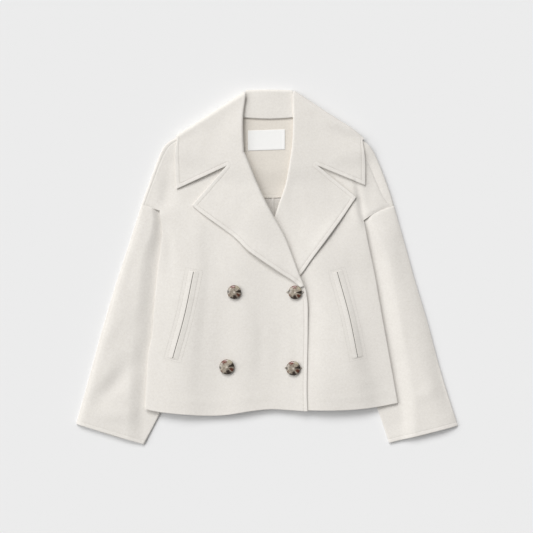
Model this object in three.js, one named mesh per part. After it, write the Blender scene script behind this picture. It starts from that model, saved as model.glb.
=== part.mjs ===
// A short double breasted wool jacket, laid flat on its back and seen from above.
// Millimetres. +X is to the viewer's right, +Y towards the neck, +Z up from the surface it lies on.
// Right and left are the wearer's, so the right half has negative X.
import * as THREE from "three";

const { clamp, lerp } = THREE.MathUtils;

// Cloth thicknesses.
const CLOTH = 2.0;
const TURNED = 3.0;
const FACING = 1.6;
const LINING = 1.0;
const WELT = 1.2;
const LABEL = 0.6;

// Clearances: at a seam, between cloth laid on cloth, and under a turned edge.
const SEAM = 0.3;
const LAID = 0.6;
const TURNED_GAP = 1.0;
const FACING_GAP = 1.0;
const GORGE_GAP = { notch: 0.6, roll: 1.0 };
const BUTTON_GAP = 0.9;

// Heights of the middle of a layer above the surface.
const BACK_MID = CLOTH / 2;
const FRONT_MID = 7.9;
const LEAF_MID = TURNED / 2;
const STAND_SEAM_MID = 5.2;
const SLEEVE_MID = {
  tucked: { right: 3.36, left: 3.3 },
  tuckedCuff: 4.8,
  outer: { right: 4.4, left: 3.6 },
  crest: { right: 9.6, left: 11.2 },
};

// How far a layer is lifted by what lies under it.
const BACK_OVER_LEAF = TURNED + LAID;
const FRONT_OVER_LEAF = 2.6;
const BACK_OVER_SLEEVE = 4.8;
const FRONT_OVER_SLEEVE = 0.9;
const FRONT_OVER_FRONT = CLOTH + LAID;
const TURNED_OVER_FRONT = CLOTH / 2 + TURNED_GAP + TURNED / 2;
const OVER_HIDDEN_LAPEL = TURNED + TURNED_GAP;
const ROLL_PUFF = { right: 3.4, left: 1.4 };
const SIDE_DROP = 0.8;
const SIDE_ROUND = 14;

// The fronts come down towards each shoulder edge, beside a level strip.
const SHOULDER_DROP = { right: 1.2, left: 3.4 };
const SHOULDER_STRIP = 13;
const SHOULDER_ROUND = 40;

// Horizontal run of the slope beside each lifted stretch.
const LEAF_RUN = { from: 60, to: 15 };
const SLEEVE_RUN = { from: 46, to: 6 };
const BACK_UNDERARM_RUN = { from: 112, to: 68 };
const FRONT_UNDERARM_RUN = { from: 132, to: 96 };
const OVERLAP_RUN = { from: 190, to: 15 };
const OVERLAP_TOP = { from: 220, to: 104 };
const SIDE_DROP_TOP = { from: 100, to: 40 };
const SHOULDER_START = { from: 84, to: 112 };
const SHOULDER_END = { from: 292, to: 252 };

// Turned cloth stands higher along its roll. Shares of the roll's length where that grows to full,
// and how far from the roll it fades out. Under the roll it lies a little higher than its front.
const LAPEL_PUFF_RUN = { right: { from: 0.2, to: 0.65 }, left: { from: 0.55, to: 0.85 } };
const WING_PUFF_RUN = { from: 1, to: 0.35 };
const PUFF_REACH = 140;
const MOST_ROLL_SHARE = 0.6;
const ROLL_LIFT = 0.3;

// A sleeve along its length: shares where its head, cuff and side slope have grown to full. Its top
// rises between two distances from the body's edge.
const SLEEVE_HEAD_RUN = { from: 0, to: 0.15 };
const SLEEVE_CUFF_RUN = { from: 0.92, to: 1 };
const SLEEVE_CUFF_DROP = { depth: 1, run: { from: 0.8, to: 1 } };
const SLEEVE_SLOPE = { start: 3, head: 18, arm: 38, run: { from: 0, to: 0.25 } };
const SLEEVE_ROUND = { right: 24, left: 31 };

// Shares of a sleeve's width that have a column of points, on top and underneath.
const SLEEVE_SHARES = {
  top: [0.08, 0.18, 0.32, 0.46, 0.6, 0.74, 0.86],
  underneath: [0.76, 0.5, 0.24],
};

// The front ends this far inside the line where its lapel rolls over. The height of the collar's
// fold over the shoulder is read this far inside it.
const ROLL_INSET = 8.4;
const FOLD_INSET = 7;

// Side edge of the body and the sleeve edge tucked under it, one row for each level.
const SIDES = {
  right: [
    { y: -290, body: -243.4, tucked: -213.6 },
    { y: -250, body: -241, tucked: -205 },
    { y: -175, body: -236.8, tucked: -195 },
    { y: -140, body: -229.8, tucked: -191 },
    { y: -52, body: -222.6, tucked: -187 },
    { y: 20, body: -214.5, tucked: -188 },
    { y: 62, body: -208.5, tucked: -194 },
    { y: 95, body: -210, tucked: -201 },
    { y: 112, body: -214.4, tucked: -206.5 },
  ],
  left: [
    { y: -290, body: 262, tucked: 223 },
    { y: -264, body: 260, tucked: 215 },
    { y: -180, body: 246, tucked: 196 },
    { y: -110, body: 231, tucked: 186 },
    { y: -40, body: 219, tucked: 176 },
    { y: 20, body: 208, tucked: 174 },
    { y: 54, body: 200.6, tucked: 177 },
    { y: 92, body: 193.2, tucked: 184 },
  ],
};

// Outer edge of the collar's leaf behind the neck.
const LEAF_EDGE = [
  { x: -182, y: 263 },
  { x: -95, y: 226 },
  { x: 5, y: 212 },
  { x: 105, y: 226 },
  { x: 194, y: 256 },
];

// Edge of the left front where it runs up under the right front, and its lapel's hidden outer edge.
const UNDER_EDGE = [
  { y: -300, x: -88 },
  { y: -62, x: -82 },
  { y: -25, x: -55 },
  { y: 10, x: -30 },
  { y: 60, x: -2 },
  { y: 101, x: 15 },
  { y: 166, x: 37 },
];
const HIDDEN_LAPEL = [
  { x: -82, y: -66 },
  { x: -45, y: -63 },
  { x: 0, y: -56 },
  { x: 35, y: -42 },
  { x: 65, y: -17 },
  { x: 89, y: 16 },
];

// Soft folds of the fronts. Each has a crest line, a height, and a width on either side of it.
const FOLDS = {
  right: [
    {
      height: 6,
      width: { left: 76, right: 40 },
      crest: [
        { y: -290, x: -168 },
        { y: -150, x: -160 },
        { y: 0, x: -147 },
        { y: 110, x: -146 },
      ],
      fade: { from: 170, to: 40 },
    },
    {
      height: 2.6,
      width: { left: 34, right: 40 },
      crest: [
        { y: -290, x: -50 },
        { y: -120, x: -42 },
        { y: 60, x: -66 },
      ],
      fade: { from: 90, to: -20 },
    },
    {
      height: -2,
      width: { left: 16, right: 18 },
      crest: [
        { y: 60, x: -202 },
        { y: 112, x: -206 },
        { y: 180, x: -190 },
      ],
      fade: { from: 190, to: 150 },
      start: { from: 104, to: 136 },
    },
  ],
  left: [
    {
      height: 7,
      width: { left: 50, right: 74 },
      crest: [
        { y: -290, x: 116 },
        { y: -146, x: 114 },
        { y: 74, x: 112 },
      ],
      fade: { from: 130, to: 10 },
    },
    {
      height: 8.4,
      width: { left: 74, right: 54 },
      crest: [
        { y: -290, x: 154 },
        { y: -160, x: 150 },
        { y: -60, x: 140 },
      ],
      fade: { from: -10, to: -150 },
      start: { from: -340, to: -190 },
    },
  ],
};

// Outlines, each a list of points from its start to its end.
const BACK_HEM = [
  { x: -242.4, y: -282 },
  { x: -118, y: -291 },
  { x: 8, y: -282 },
  { x: 156, y: -283 },
  { x: 260.2, y: -270 },
];
const HEM = {
  right: [
    { x: -243, y: -284 },
    { x: -217, y: -289 },
    { x: -174, y: -293.6 },
    { x: -118, y: -297 },
    { x: -84, y: -295.8 },
    { x: -30, y: -287.5 },
    { x: 8, y: -284 },
    { x: 40, y: -285.5 },
    { x: 80.6, y: -288 },
  ],
  left: [
    { x: -88, y: -284 },
    { x: 0, y: -282.5 },
    { x: 80, y: -286 },
    { x: 156, y: -285.4 },
    { x: 216, y: -280 },
    { x: 261.2, y: -272 },
  ],
};
const BODY_EDGE = {
  right: [
    { x: -243, y: -284 },
    { x: -236.8, y: -175 },
    { x: -229.8, y: -140 },
    { x: -222.6, y: -52 },
    { x: -211, y: 50 },
    { x: -208.5, y: 72 },
    { x: -214.4, y: 113 },
  ],
  left: [
    { x: 261.2, y: -272 },
    { x: 234, y: -121.6 },
    { x: 213.6, y: -7.4 },
    { x: 200.6, y: 54 },
    { x: 193.2, y: 93.6 },
  ],
};
const ARMHOLE = {
  right: [
    { x: -214.4, y: 112.8 },
    { x: -245.5, y: 123.5 },
  ],
  left: [
    { x: 193.2, y: 93.6 },
    { x: 219.8, y: 110.8 },
    { x: 247.5, y: 121.2 },
  ],
};
const SHOULDER_SEAM = {
  right: [
    { x: -245.5, y: 123.5 },
    { x: -226, y: 176.6 },
    { x: -214.5, y: 207 },
    { x: -205, y: 227 },
    { x: -194, y: 243 },
    { x: -177, y: 254 },
    { x: -130, y: 281 },
    { x: -88, y: 306 },
  ],
  left: [
    { x: 247.5, y: 121.2 },
    { x: 233, y: 140 },
    { x: 217, y: 176 },
    { x: 199, y: 215 },
    { x: 180, y: 243 },
    { x: 138, y: 278 },
    { x: 92, y: 306 },
  ],
};
const SHOULDER_EDGE = {
  right: [
    { x: -251.3, y: 125.5 },
    { x: -231, y: 182.8 },
    { x: -220.2, y: 211.8 },
    { x: -209.6, y: 236.2 },
    { x: -198.8, y: 249 },
    { x: -180, y: 260.5 },
    { x: -130, y: 290 },
    { x: -84, y: 319 },
  ],
  left: [
    { x: 254.4, y: 123.5 },
    { x: 248.6, y: 143.6 },
    { x: 223.6, y: 209.8 },
    { x: 207.4, y: 240 },
    { x: 188, y: 256.6 },
    { x: 138, y: 291 },
    { x: 88, y: 321 },
  ],
};
const NECK_SEAM = [
  { x: -84, y: 319 },
  { x: -62, y: 304.6 },
  { x: -47, y: 300.4 },
  { x: 2, y: 297.6 },
  { x: 52, y: 300.4 },
  { x: 66, y: 304.6 },
  { x: 88, y: 321 },
];
// The free edge of each front below its lapel, and its neck edge above it.
const FREE_EDGE = {
  right: [
    { x: 80.6, y: -288 },
    { x: 79.2, y: -246 },
    { x: 81, y: -116 },
    { x: 80, y: -66 },
  ],
  left: [
    { x: -88, y: -284 },
    { x: -88, y: -90 },
  ],
};
const NECK_EDGE = {
  right: [
    { x: -55, y: 262 },
    { x: -61, y: 292 },
    { x: -88, y: 306 },
  ],
  left: [
    { x: 60, y: 270 },
    { x: 66, y: 293 },
    { x: 92, y: 306 },
  ],
};
const ROLL = {
  right: [
    { x: 74.5, y: -37 },
    { x: 62.4, y: -8.8 },
    { x: 37.4, y: 57.2 },
    { x: 14.2, y: 100 },
    { x: -1.4, y: 129 },
    { x: -19.8, y: 168.8 },
    { x: -42.6, y: 224 },
    { x: -45.8, y: 230.2 },
  ],
  left: [
    { x: -79, y: -56 },
    { x: -55, y: -26 },
    { x: -30, y: 8 },
    { x: -2, y: 56 },
    { x: 15.4, y: 101.6 },
    { x: 24.6, y: 129 },
    { x: 37, y: 165.8 },
    { x: 50, y: 240 },
  ],
};
const LAPEL_EDGE = {
  right: [
    { x: 66.5, y: -40 },
    { x: 53.6, y: -28.6 },
    { x: 17.8, y: -5.2 },
    { x: -41.2, y: 36.6 },
    { x: -59.6, y: 55.6 },
    { x: -134, y: 110.8 },
    { x: -148.8, y: 123 },
  ],
  left: [
    { x: -70, y: -65 },
    { x: 0, y: -56 },
    { x: 35, y: -42 },
    { x: 65.2, y: -16.8 },
    { x: 89.2, y: 16.2 },
    { x: 144.6, y: 91.2 },
    { x: 177.8, y: 139.8 },
  ],
};
const GORGE = {
  right: [
    { x: -45.8, y: 230.2 },
    { x: -79.4, y: 202.6 },
  ],
  left: [
    { x: 50, y: 240 },
    { x: 98.2, y: 204 },
  ],
};
const LAPEL_POINT = { right: { x: -148.8, y: 123 }, left: { x: 177.8, y: 139.8 } };
const COLLAR_POINT = { right: { x: -180.4, y: 156.6 }, left: { x: 196, y: 164.2 } };
const WING_ROLL = {
  right: [
    { x: -45.8, y: 230.2 },
    { x: -47.2, y: 257.6 },
    { x: -47.2, y: 303.6 },
    { x: -47, y: 351 },
  ],
  left: [
    { x: 50, y: 240 },
    { x: 51.6, y: 270 },
    { x: 52.2, y: 303.6 },
    { x: 55.2, y: 353 },
  ],
};
const WING_FOLD = {
  right: [
    { x: -47, y: 351 },
    { x: -182, y: 264 },
  ],
  left: [
    { x: 55.2, y: 353 },
    { x: 128.8, y: 304.4 },
    { x: 173.2, y: 276 },
    { x: 194.5, y: 258 },
  ],
};
const WING_EDGE = {
  right: [
    { x: -180.4, y: 156.6 },
    { x: -183.4, y: 225 },
    { x: -182, y: 264 },
  ],
  left: [
    { x: 196, y: 164.2 },
    { x: 195.6, y: 215 },
    { x: 194.5, y: 258 },
  ],
};
// The leaf between the two folds: the middle of its upper edge, and its lower edge.
const LEAF_TOP = { x: 4, y: 348.4 };
const LEAF_FOOT = [
  { x: -95, y: 224 },
  { x: 5, y: 211 },
  { x: 105, y: 224 },
];
const STAND_SEAM = [
  { x: -57, y: 305 },
  { x: -47, y: 302.4 },
  { x: 2, y: 299.6 },
  { x: 52, y: 302.4 },
  { x: 62, y: 305 },
];
const STAND_ROLL = [
  { x: -41, y: 354.8 },
  { x: 4, y: 355.6 },
  { x: 50, y: 354.2 },
];
const STAND_ROLL_RADIUS = { ends: 2.0, middle: 3.6 };
const STAND_SHARES = [0.3, 0.65, 1];
const SLEEVE_EDGE = {
  right: [
    { x: -251.5, y: 125 },
    { x: -271.6, y: 61.8 },
    { x: -306.2, y: -44.4 },
    { x: -332.8, y: -134.2 },
    { x: -355.2, y: -215.8 },
    { x: -382.6, y: -313.8 },
  ],
  left: [
    { x: 254.8, y: 122.8 },
    { x: 276.8, y: 45.6 },
    { x: 297.2, y: -27.8 },
    { x: 321.8, y: -109.4 },
    { x: 348.2, y: -207.2 },
    { x: 382.6, y: -317.4 },
  ],
};
const SLEEVE_TUCK = {
  right: [
    { x: -206.5, y: 109.3 },
    { x: -201, y: 95 },
    { x: -194, y: 60 },
    { x: -188, y: 20 },
    { x: -186.5, y: -40 },
    { x: -189, y: -110 },
    { x: -205, y: -250 },
    { x: -213.6, y: -290.8 },
    { x: -224.4, y: -313.2 },
    { x: -246.6, y: -355.2 },
  ],
  left: [
    { x: 184.5, y: 87.6 },
    { x: 177, y: 56 },
    { x: 174, y: 20 },
    { x: 176, y: -40 },
    { x: 186, y: -110 },
    { x: 208, y: -240 },
    { x: 219.4, y: -278.6 },
    { x: 230.6, y: -309.6 },
    { x: 244.8, y: -352 },
  ],
};
const SLEEVE_HEAD = {
  right: [
    { x: -251.5, y: 125 },
    { x: -214.6, y: 112.3 },
    { x: -206.5, y: 109.3 },
  ],
  left: [
    { x: 254.8, y: 122.8 },
    { x: 219.9, y: 109.6 },
    { x: 193.4, y: 92.6 },
    { x: 184.5, y: 87.6 },
  ],
};
// The back's sides follow the body's edge, then pass inside the head of the sleeve.
const BACK_SIDE = {
  right: [
    { x: -242.4, y: -282 },
    { x: -236, y: -175 },
    { x: -229, y: -140 },
    { x: -221.8, y: -52 },
    { x: -213.5, y: 20 },
    { x: -204, y: 44 },
    { x: -188.6, y: 67 },
    { x: -193.8, y: 86 },
    { x: -203.5, y: 111.2 },
  ],
  left: [
    { x: 260.2, y: -270 },
    { x: 233, y: -121.6 },
    { x: 212.6, y: -7.4 },
    { x: 204, y: 22 },
    { x: 190, y: 42 },
    { x: 173.8, y: 60 },
    { x: 177, y: 76 },
    { x: 182, y: 90.6 },
  ],
};
const BACK_ARMHOLE = {
  right: [
    { x: -203.5, y: 111.2 },
    { x: -214.4, y: 113 },
    { x: -246.6, y: 124 },
  ],
  left: [
    { x: 182, y: 90.6 },
    { x: 193.2, y: 94 },
    { x: 219.8, y: 111.1 },
    { x: 249.6, y: 122.2 },
  ],
};
const POCKET = {
  right: { top: { x: -146.2, y: -9 }, bottom: { x: -188, y: -182 }, bow: 3 },
  left: { top: { x: 140, y: -9 }, bottom: { x: 181, y: -180 }, bow: 3 },
};
const WELT_WIDTH = 9.4;
const POCKET_SLIT = 1.0;
const FACING_OUTLINE = {
  left: [
    { x: -62, y: 146 },
    { x: -84, y: 200 },
    { x: -72, y: 309 },
  ],
  right: [
    { x: 74, y: 146 },
    { x: 90, y: 200 },
    { x: 78, y: 309 },
  ],
  foot: [
    { x: -62, y: 146 },
    { x: 4, y: 138 },
    { x: 74, y: 146 },
  ],
  neck: [
    { x: -72, y: 309 },
    { x: -45, y: 300.6 },
    { x: 2, y: 298 },
    { x: 50, y: 300.6 },
    { x: 78, y: 309 },
  ],
};
const LINING_AREA = { top: 137.4, foot: 58, columns: [-60, -30, -4, 6, 13, 18, 44, 78] };
const LINING_PLEAT = { x: 13, height: 1.2 };
const NECK_LABEL = { x: -1, y: 254, width: 74, height: 40, tilt: 0.035 };

// Buttons: where each sits, and its width. Every one has a domed face on a thread shank.
const BUTTONS = [
  { x: -65, y: -50, diameter: 27.6 },
  { x: 56.4, y: -50.6, diameter: 27.2 },
  { x: -79.8, y: -199.2, diameter: 30 },
  { x: 52.8, y: -201.8, diameter: 28.6 },
];
const SHANK = { radius: 2.6, height: 1.6 };
const BUTTON_PROFILE = [
  { share: 0.82, z: 0.3 },
  { share: 1, z: 1.9 },
  { share: 0.92, z: 3.5 },
  { share: 0.66, z: 4.7 },
  { share: 0.34, z: 5.3 },
  { share: 0, z: 5.4 },
];
const BUTTON_SIDES = 24;

// Cells along each piece, in each stretch of its edge, and steps in a half round.
const CELLS = {
  front: [19, 3],
  back: [15, 3],
  neck: 6,
  sleeve: 18,
  lapel: 15,
  gorge: [3, 5],
  wing: 7,
  leaf: 12,
  stand: 10,
  facing: { along: 14, across: 7 },
  lining: 6,
  label: { along: 3, across: 5 },
  welt: 12,
};
const ROLL_STEPS = 4;
const FOLD_STEPS = 5;

// Steps for reading the direction of a route and the slope of a front.
const TANGENT_STEP = 0.004;
const SLOPE_STEP = 6;

const ECRU = "#e3dfd9";
const ECRU_INSIDE = "#ddd7ce";
const SATIN = "#d9d4cc";
const LABEL_WHITE = "#f2f1ef";
const HORN = "#8a6b4f";
const ROUGHNESS = { wool: 0.95, satin: 0.5, label: 0.8, horn: 0.2 };

// 0 at one end of a run and 1 at the other, with level ends.
function ramp(value, from, to) {
  const t = clamp((value - from) / (to - from), 0, 1);
  return t * t * (3 - 2 * t);
}

// Height of a quarter round, 0 at its edge and 1 where it is level.
function quarterRound(distance, radius) {
  const t = 1 - clamp(distance / radius, 0, 1);
  return Math.sqrt(1 - t * t);
}

// Reads one column of a table along another column.
function follow(table, key, name) {
  return (at) => {
    let row = 1;
    while (row < table.length - 1 && table[row][key] < at) row += 1;
    const [a, b] = [table[row - 1], table[row]];
    const t = clamp((at - a[key]) / (b[key] - a[key]), 0, 1);
    return lerp(a[name], b[name], t);
  };
}

// A line through one or more smooth stretches, read by its share of the whole length.
function route(...stretches) {
  const path = new THREE.CurvePath();
  for (const stretch of stretches) {
    const points = stretch.map(({ x, y }) => new THREE.Vector3(x, y, 0));
    path.add(new THREE.CatmullRomCurve3(points, false, "centripetal"));
  }
  const lengths = path.getCurveLengths();
  const total = lengths.at(-1);
  return {
    at: (share) => path.getPoint(clamp(share, 0, 1)),
    stops: [0, ...lengths.map((length) => length / total)],
  };
}

const backwards = (points) => [...points].reverse();

// The straight lines between the points of an outline.
function lines(points) {
  const corners = points.map(({ x, y }) => new THREE.Vector3(x, y, 0));
  return corners.slice(1).map((corner, k) => new THREE.Line3(corners[k], corner));
}

// Shares of a route: a number of even steps in each stretch between its stops.
function shares(stops, steps) {
  const list = [0];
  steps.forEach((count, k) => {
    for (let i = 1; i <= count; i += 1) list.push(lerp(stops[k], stops[k + 1], i / count));
  });
  return list;
}

const evenly = (steps) => shares([0, 1], [steps]);

// A point inside four edges. u runs along lower and upper, v along left and right.
function coons({ left, right, lower, upper }) {
  const corners = [lower.at(0), lower.at(1), upper.at(0), upper.at(1)];
  return (u, v) => {
    const [l, r, b, t] = [left.at(v), right.at(v), lower.at(u), upper.at(u)];
    const blend = (k) =>
      (1 - u) * l[k] + u * r[k] + (1 - v) * b[k] + v * t[k] -
      (1 - u) * (1 - v) * corners[0][k] - u * (1 - v) * corners[1][k] -
      (1 - u) * v * corners[2][k] - u * v * corners[3][k];
    return new THREE.Vector3(blend("x"), blend("y"), 0);
  };
}

const raise = (point, height) => new THREE.Vector3(point.x, point.y, height);

// Adds to each corner of a cell the cell's own normal.
function cellNormals(rows, cells) {
  const normals = rows.map((row) => row.map(() => new THREE.Vector3()));
  for (const cell of cells) {
    const [a, b, c, d] = cell.map(([i, j]) => rows[i][j]);
    const normal = new THREE.Vector3().subVectors(c, a).cross(new THREE.Vector3().subVectors(d, b));
    cell.forEach(([i, j]) => normals[i][j].add(normal));
  }
  return normals;
}

function signedVolume(positions, index) {
  const [a, b, c] = [new THREE.Vector3(), new THREE.Vector3(), new THREE.Vector3()];
  let volume = 0;
  for (let k = 0; k < index.length; k += 3) {
    a.fromArray(positions, 3 * index[k]);
    b.fromArray(positions, 3 * index[k + 1]);
    c.fromArray(positions, 3 * index[k + 2]);
    volume += a.dot(b.cross(c)) / 6;
  }
  return volume;
}

// A wall of cloth around a net of points on its middle. Where a point is null there is no cloth.
// With around set, the last column joins the first, as in a tube.
function wall(rows, thickness, around = false) {
  const width = rows[0].length;
  const cells = [];
  for (let i = 0; i < rows.length - 1; i += 1) {
    for (let j = 0; j < (around ? width : width - 1); j += 1) {
      const k = (j + 1) % width;
      const cell = [[i, j], [i, k], [i + 1, k], [i + 1, j]];
      if (cell.every(([a, b]) => rows[a][b])) cells.push(cell);
    }
  }
  const normals = cellNormals(rows, cells);
  const positions = [];
  const index = [];
  const known = new Map();
  const corner = ([i, j], side) => {
    const key = `${i},${j},${side}`;
    if (!known.has(key)) {
      const normal = normals[i][j].clone().normalize();
      positions.push(...rows[i][j].clone().addScaledVector(normal, (side * thickness) / 2));
      known.set(key, positions.length / 3 - 1);
    }
    return known.get(key);
  };
  const edges = new Map();
  for (const cell of cells) {
    const [a, b, c, d] = cell.map((at) => corner(at, 1));
    const [e, f, g, h] = cell.map((at) => corner(at, -1));
    index.push(a, b, c, a, c, d, g, f, e, h, g, e);
    cell.forEach((from, n) => {
      const to = cell[(n + 1) % 4];
      edges.set(`${from}|${to}`, [from, to]);
    });
  }
  for (const [from, to] of edges.values()) {
    if (edges.has(`${to}|${from}`)) continue;
    const [a, b] = [corner(from, 1), corner(to, 1)];
    const [c, d] = [corner(to, -1), corner(from, -1)];
    index.push(b, a, d, b, d, c);
  }
  if (signedVolume(positions, index) < 0) index.reverse();
  const geometry = new THREE.BufferGeometry();
  geometry.setAttribute("position", new THREE.Float32BufferAttribute(positions, 3));
  geometry.setIndex(index);
  geometry.computeVertexNormals();
  return geometry;
}

// What lies under a point: the collar's leaf, a tucked sleeve, the left front and its lapel.
const leafEdgeAt = follow(LEAF_EDGE, "x", "y");
const tuckedAt = {
  right: follow(SIDES.right, "y", "tucked"),
  left: follow(SIDES.left, "y", "tucked"),
};
const bodyAt = {
  right: follow(SIDES.right, "y", "body"),
  left: follow(SIDES.left, "y", "body"),
};
const SHOULDER_LINES = {
  right: lines(SHOULDER_EDGE.right),
  left: lines(SHOULDER_EDGE.left),
};
const underEdgeAt = follow(UNDER_EDGE, "y", "x");
const hiddenLapelAt = follow(HIDDEN_LAPEL, "x", "y");

function overLeaf(x, y) {
  return ramp(y, leafEdgeAt(x) - LEAF_RUN.from, leafEdgeAt(x) - LEAF_RUN.to);
}

function overSleeve(x, y, underarm) {
  const inward = x < 0 ? x - tuckedAt.right(y) : tuckedAt.left(y) - x;
  return ramp(inward, SLEEVE_RUN.from, SLEEVE_RUN.to) * ramp(y, underarm.from, underarm.to);
}

function overLeftFront(x, y) {
  const across = ramp(x, underEdgeAt(y) - OVERLAP_RUN.from, underEdgeAt(y) - OVERLAP_RUN.to);
  return across * ramp(y, OVERLAP_TOP.from, OVERLAP_TOP.to);
}

function overHiddenLapel(x, y) {
  const across = ramp(x, underEdgeAt(y) - OVERLAP_RUN.from, underEdgeAt(y) - OVERLAP_RUN.to);
  return across * ramp(y, hiddenLapelAt(x) - OVERLAP_RUN.from, hiddenLapelAt(x) - OVERLAP_RUN.to);
}

function foldHeight(folds, x, y) {
  return folds.reduce((sum, fold) => {
    const off = x - follow(fold.crest, "y", "x")(y);
    const reach = off < 0 ? fold.width.left : fold.width.right;
    const begun = fold.start ? ramp(y, fold.start.from, fold.start.to) : 1;
    const shape = Math.exp(-((off / reach) ** 2)) * ramp(y, fold.fade.from, fold.fade.to);
    return sum + fold.height * shape * begun;
  }, 0);
}

function sideDrop(x, y) {
  const inward = x < 0 ? x - bodyAt.right(y) : bodyAt.left(y) - x;
  const rounded = 1 - quarterRound(inward, SIDE_ROUND);
  return SIDE_DROP * rounded * ramp(y, SIDE_DROP_TOP.from, SIDE_DROP_TOP.to);
}

// 1 at a shoulder edge and 0 where the front lies level.
function pastShoulder(side, x, y) {
  const spot = new THREE.Vector3(x, y, 0);
  const nearest = new THREE.Vector3();
  const away = SHOULDER_LINES[side].reduce((least, line) => {
    return Math.min(least, line.closestPointToPoint(spot, true, nearest).distanceTo(spot));
  }, Infinity);
  const share = 1 - clamp((away - SHOULDER_STRIP) / SHOULDER_ROUND, 0, 1);
  const begun = ramp(y, SHOULDER_START.from, SHOULDER_START.to);
  return share * share * begun * ramp(y, SHOULDER_END.from, SHOULDER_END.to);
}

function backHeight(x, y) {
  const sleeveLift = BACK_OVER_SLEEVE * overSleeve(x, y, BACK_UNDERARM_RUN);
  return BACK_MID + Math.max(BACK_OVER_LEAF * overLeaf(x, y), sleeveLift);
}

function plainFrontHeight(side, x, y) {
  const sleeveLift = FRONT_OVER_SLEEVE * overSleeve(x, y, FRONT_UNDERARM_RUN);
  const lift = FRONT_OVER_LEAF * overLeaf(x, y) + sleeveLift;
  return FRONT_MID + lift - sideDrop(x, y) - SHOULDER_DROP[side] * pastShoulder(side, x, y);
}

function leftFrontHeight(x, y) {
  return plainFrontHeight("left", x, y) + foldHeight(FOLDS.left, x, y);
}

function rightFrontHeight(x, y) {
  const over = overLeftFront(x, y);
  const base = plainFrontHeight("right", x, y) + foldHeight(FOLDS.right, x, y);
  const leftFold = foldHeight(FOLDS.left, x, y);
  return base + over * (FRONT_OVER_FRONT + leftFold) + OVER_HIDDEN_LAPEL * overHiddenLapel(x, y);
}

const FRONT_HEIGHT = { right: rightFrontHeight, left: leftFrontHeight };

// Profile of an edge that is turned under in a half round, seen along the edge: distance from the
// edge's outermost line and height, from underneath to on top.
function turnedEdge(thickness, radius, top, steps) {
  return Array.from({ length: steps + 1 }, (_, k) => {
    const angle = Math.PI * (k / steps - 0.5);
    return {
      off: thickness / 2 + radius * (1 - Math.cos(angle)),
      height: top - radius + radius * Math.sin(angle),
    };
  });
}

const EDGE_COLUMNS = [0, 0.008, 0.025, 0.06];
const INNER_COLUMNS = 14;
const FRONT_SHARES = [
  ...EDGE_COLUMNS,
  ...evenly(INNER_COLUMNS).slice(1).map((share) => lerp(EDGE_COLUMNS.at(-1), 1, share)),
];

// A line moved sideways, to the left of its direction for a positive distance.
function moved(points, distance) {
  return points.map((point, k) => {
    const [before, after] = [points[Math.max(k - 1, 0)], points[Math.min(k + 1, points.length - 1)]];
    const along = new THREE.Vector2(after.x - before.x, after.y - before.y).normalize();
    return { x: point.x - along.y * distance, y: point.y + along.x * distance };
  });
}

function frontEdge(side) {
  const underRoll = moved(ROLL[side], side === "right" ? ROLL_INSET : -ROLL_INSET);
  return route([...FREE_EDGE[side], ...underRoll, ...NECK_EDGE[side]]);
}

function front(side) {
  const left = route(BODY_EDGE[side], ARMHOLE[side]);
  const at = coons({
    left,
    right: frontEdge(side),
    lower: route(side === "right" ? HEM.right : backwards(HEM.left)),
    upper: route(SHOULDER_SEAM[side]),
  });
  const rows = shares(left.stops, CELLS.front).map((v) =>
    FRONT_SHARES.map((u) => {
      const point = at(u, v);
      return raise(point, FRONT_HEIGHT[side](point.x, point.y));
    }),
  );
  return wall(rows, CLOTH);
}

// Direction into the cloth, square to a route that has the cloth on its right.
function inwards(line, share) {
  const ahead = line.at(Math.min(share + TANGENT_STEP, 1));
  const behind = line.at(Math.max(share - TANGENT_STEP, 0));
  const along = ahead.sub(behind).normalize();
  return new THREE.Vector3(along.y, -along.x, 0);
}

// The back lies flat. Past each shoulder edge it turns over and comes forward to the seam.
function back() {
  const shoulder = { right: route(SHOULDER_EDGE.right), left: route(SHOULDER_EDGE.left) };
  const seam = { right: route(SHOULDER_SEAM.right), left: route(SHOULDER_SEAM.left) };
  const neck = route(NECK_SEAM);
  const neckShares = evenly(CELLS.neck).slice(1, -1);
  const top = [
    ...FRONT_SHARES.map((share) => ({ side: "right", share, flip: 1 })),
    ...neckShares.map((share) => ({ side: null, share })),
    ...backwards(FRONT_SHARES).map((share) => ({ side: "left", share, flip: -1 })),
  ].map(({ side, share, flip }) => {
    if (!side) return { edge: neck.at(share) };
    const edge = shoulder[side].at(share);
    const inner = inwards(shoulder[side], share).multiplyScalar(flip);
    const end = seam[side].at(share);
    const gap = new THREE.Vector3().subVectors(edge, end).setLength(SEAM);
    return { edge, inner, end: end.add(gap), side };
  });
  for (const column of top) {
    if (!column.inner) continue;
    const height = FRONT_HEIGHT[column.side](column.end.x, column.end.y);
    const radius = (height - backHeight(column.edge.x, column.edge.y)) / 2;
    column.turn = turnedEdge(CLOTH, radius, height, ROLL_STEPS);
    column.foot = column.edge.clone().addScaledVector(column.inner, column.turn[0].off);
    column.height = height;
  }
  const upper = top.map(({ foot, edge }) => foot ?? edge);
  const last = upper.length - 1;
  const left = route(BACK_SIDE.right, BACK_ARMHOLE.right);
  const at = coons({
    left,
    right: route(BACK_SIDE.left, BACK_ARMHOLE.left),
    lower: route(BACK_HEM),
    upper: { at: (share) => upper[Math.round(share * last)] },
  });
  const rows = shares(left.stops, CELLS.back).map((v) =>
    upper.map((_, k) => {
      const point = at(k / last, v);
      return raise(point, backHeight(point.x, point.y));
    }),
  );
  for (let step = 1; step <= ROLL_STEPS; step += 1) {
    rows.push(
      top.map(({ edge, inner, turn }) => {
        if (!turn) return null;
        return raise(edge.clone().addScaledVector(inner, turn[step].off), turn[step].height);
      }),
    );
  }
  rows.push(top.map(({ end, height }) => (end ? raise(end, height) : null)));
  return wall(rows, CLOTH);
}

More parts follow.
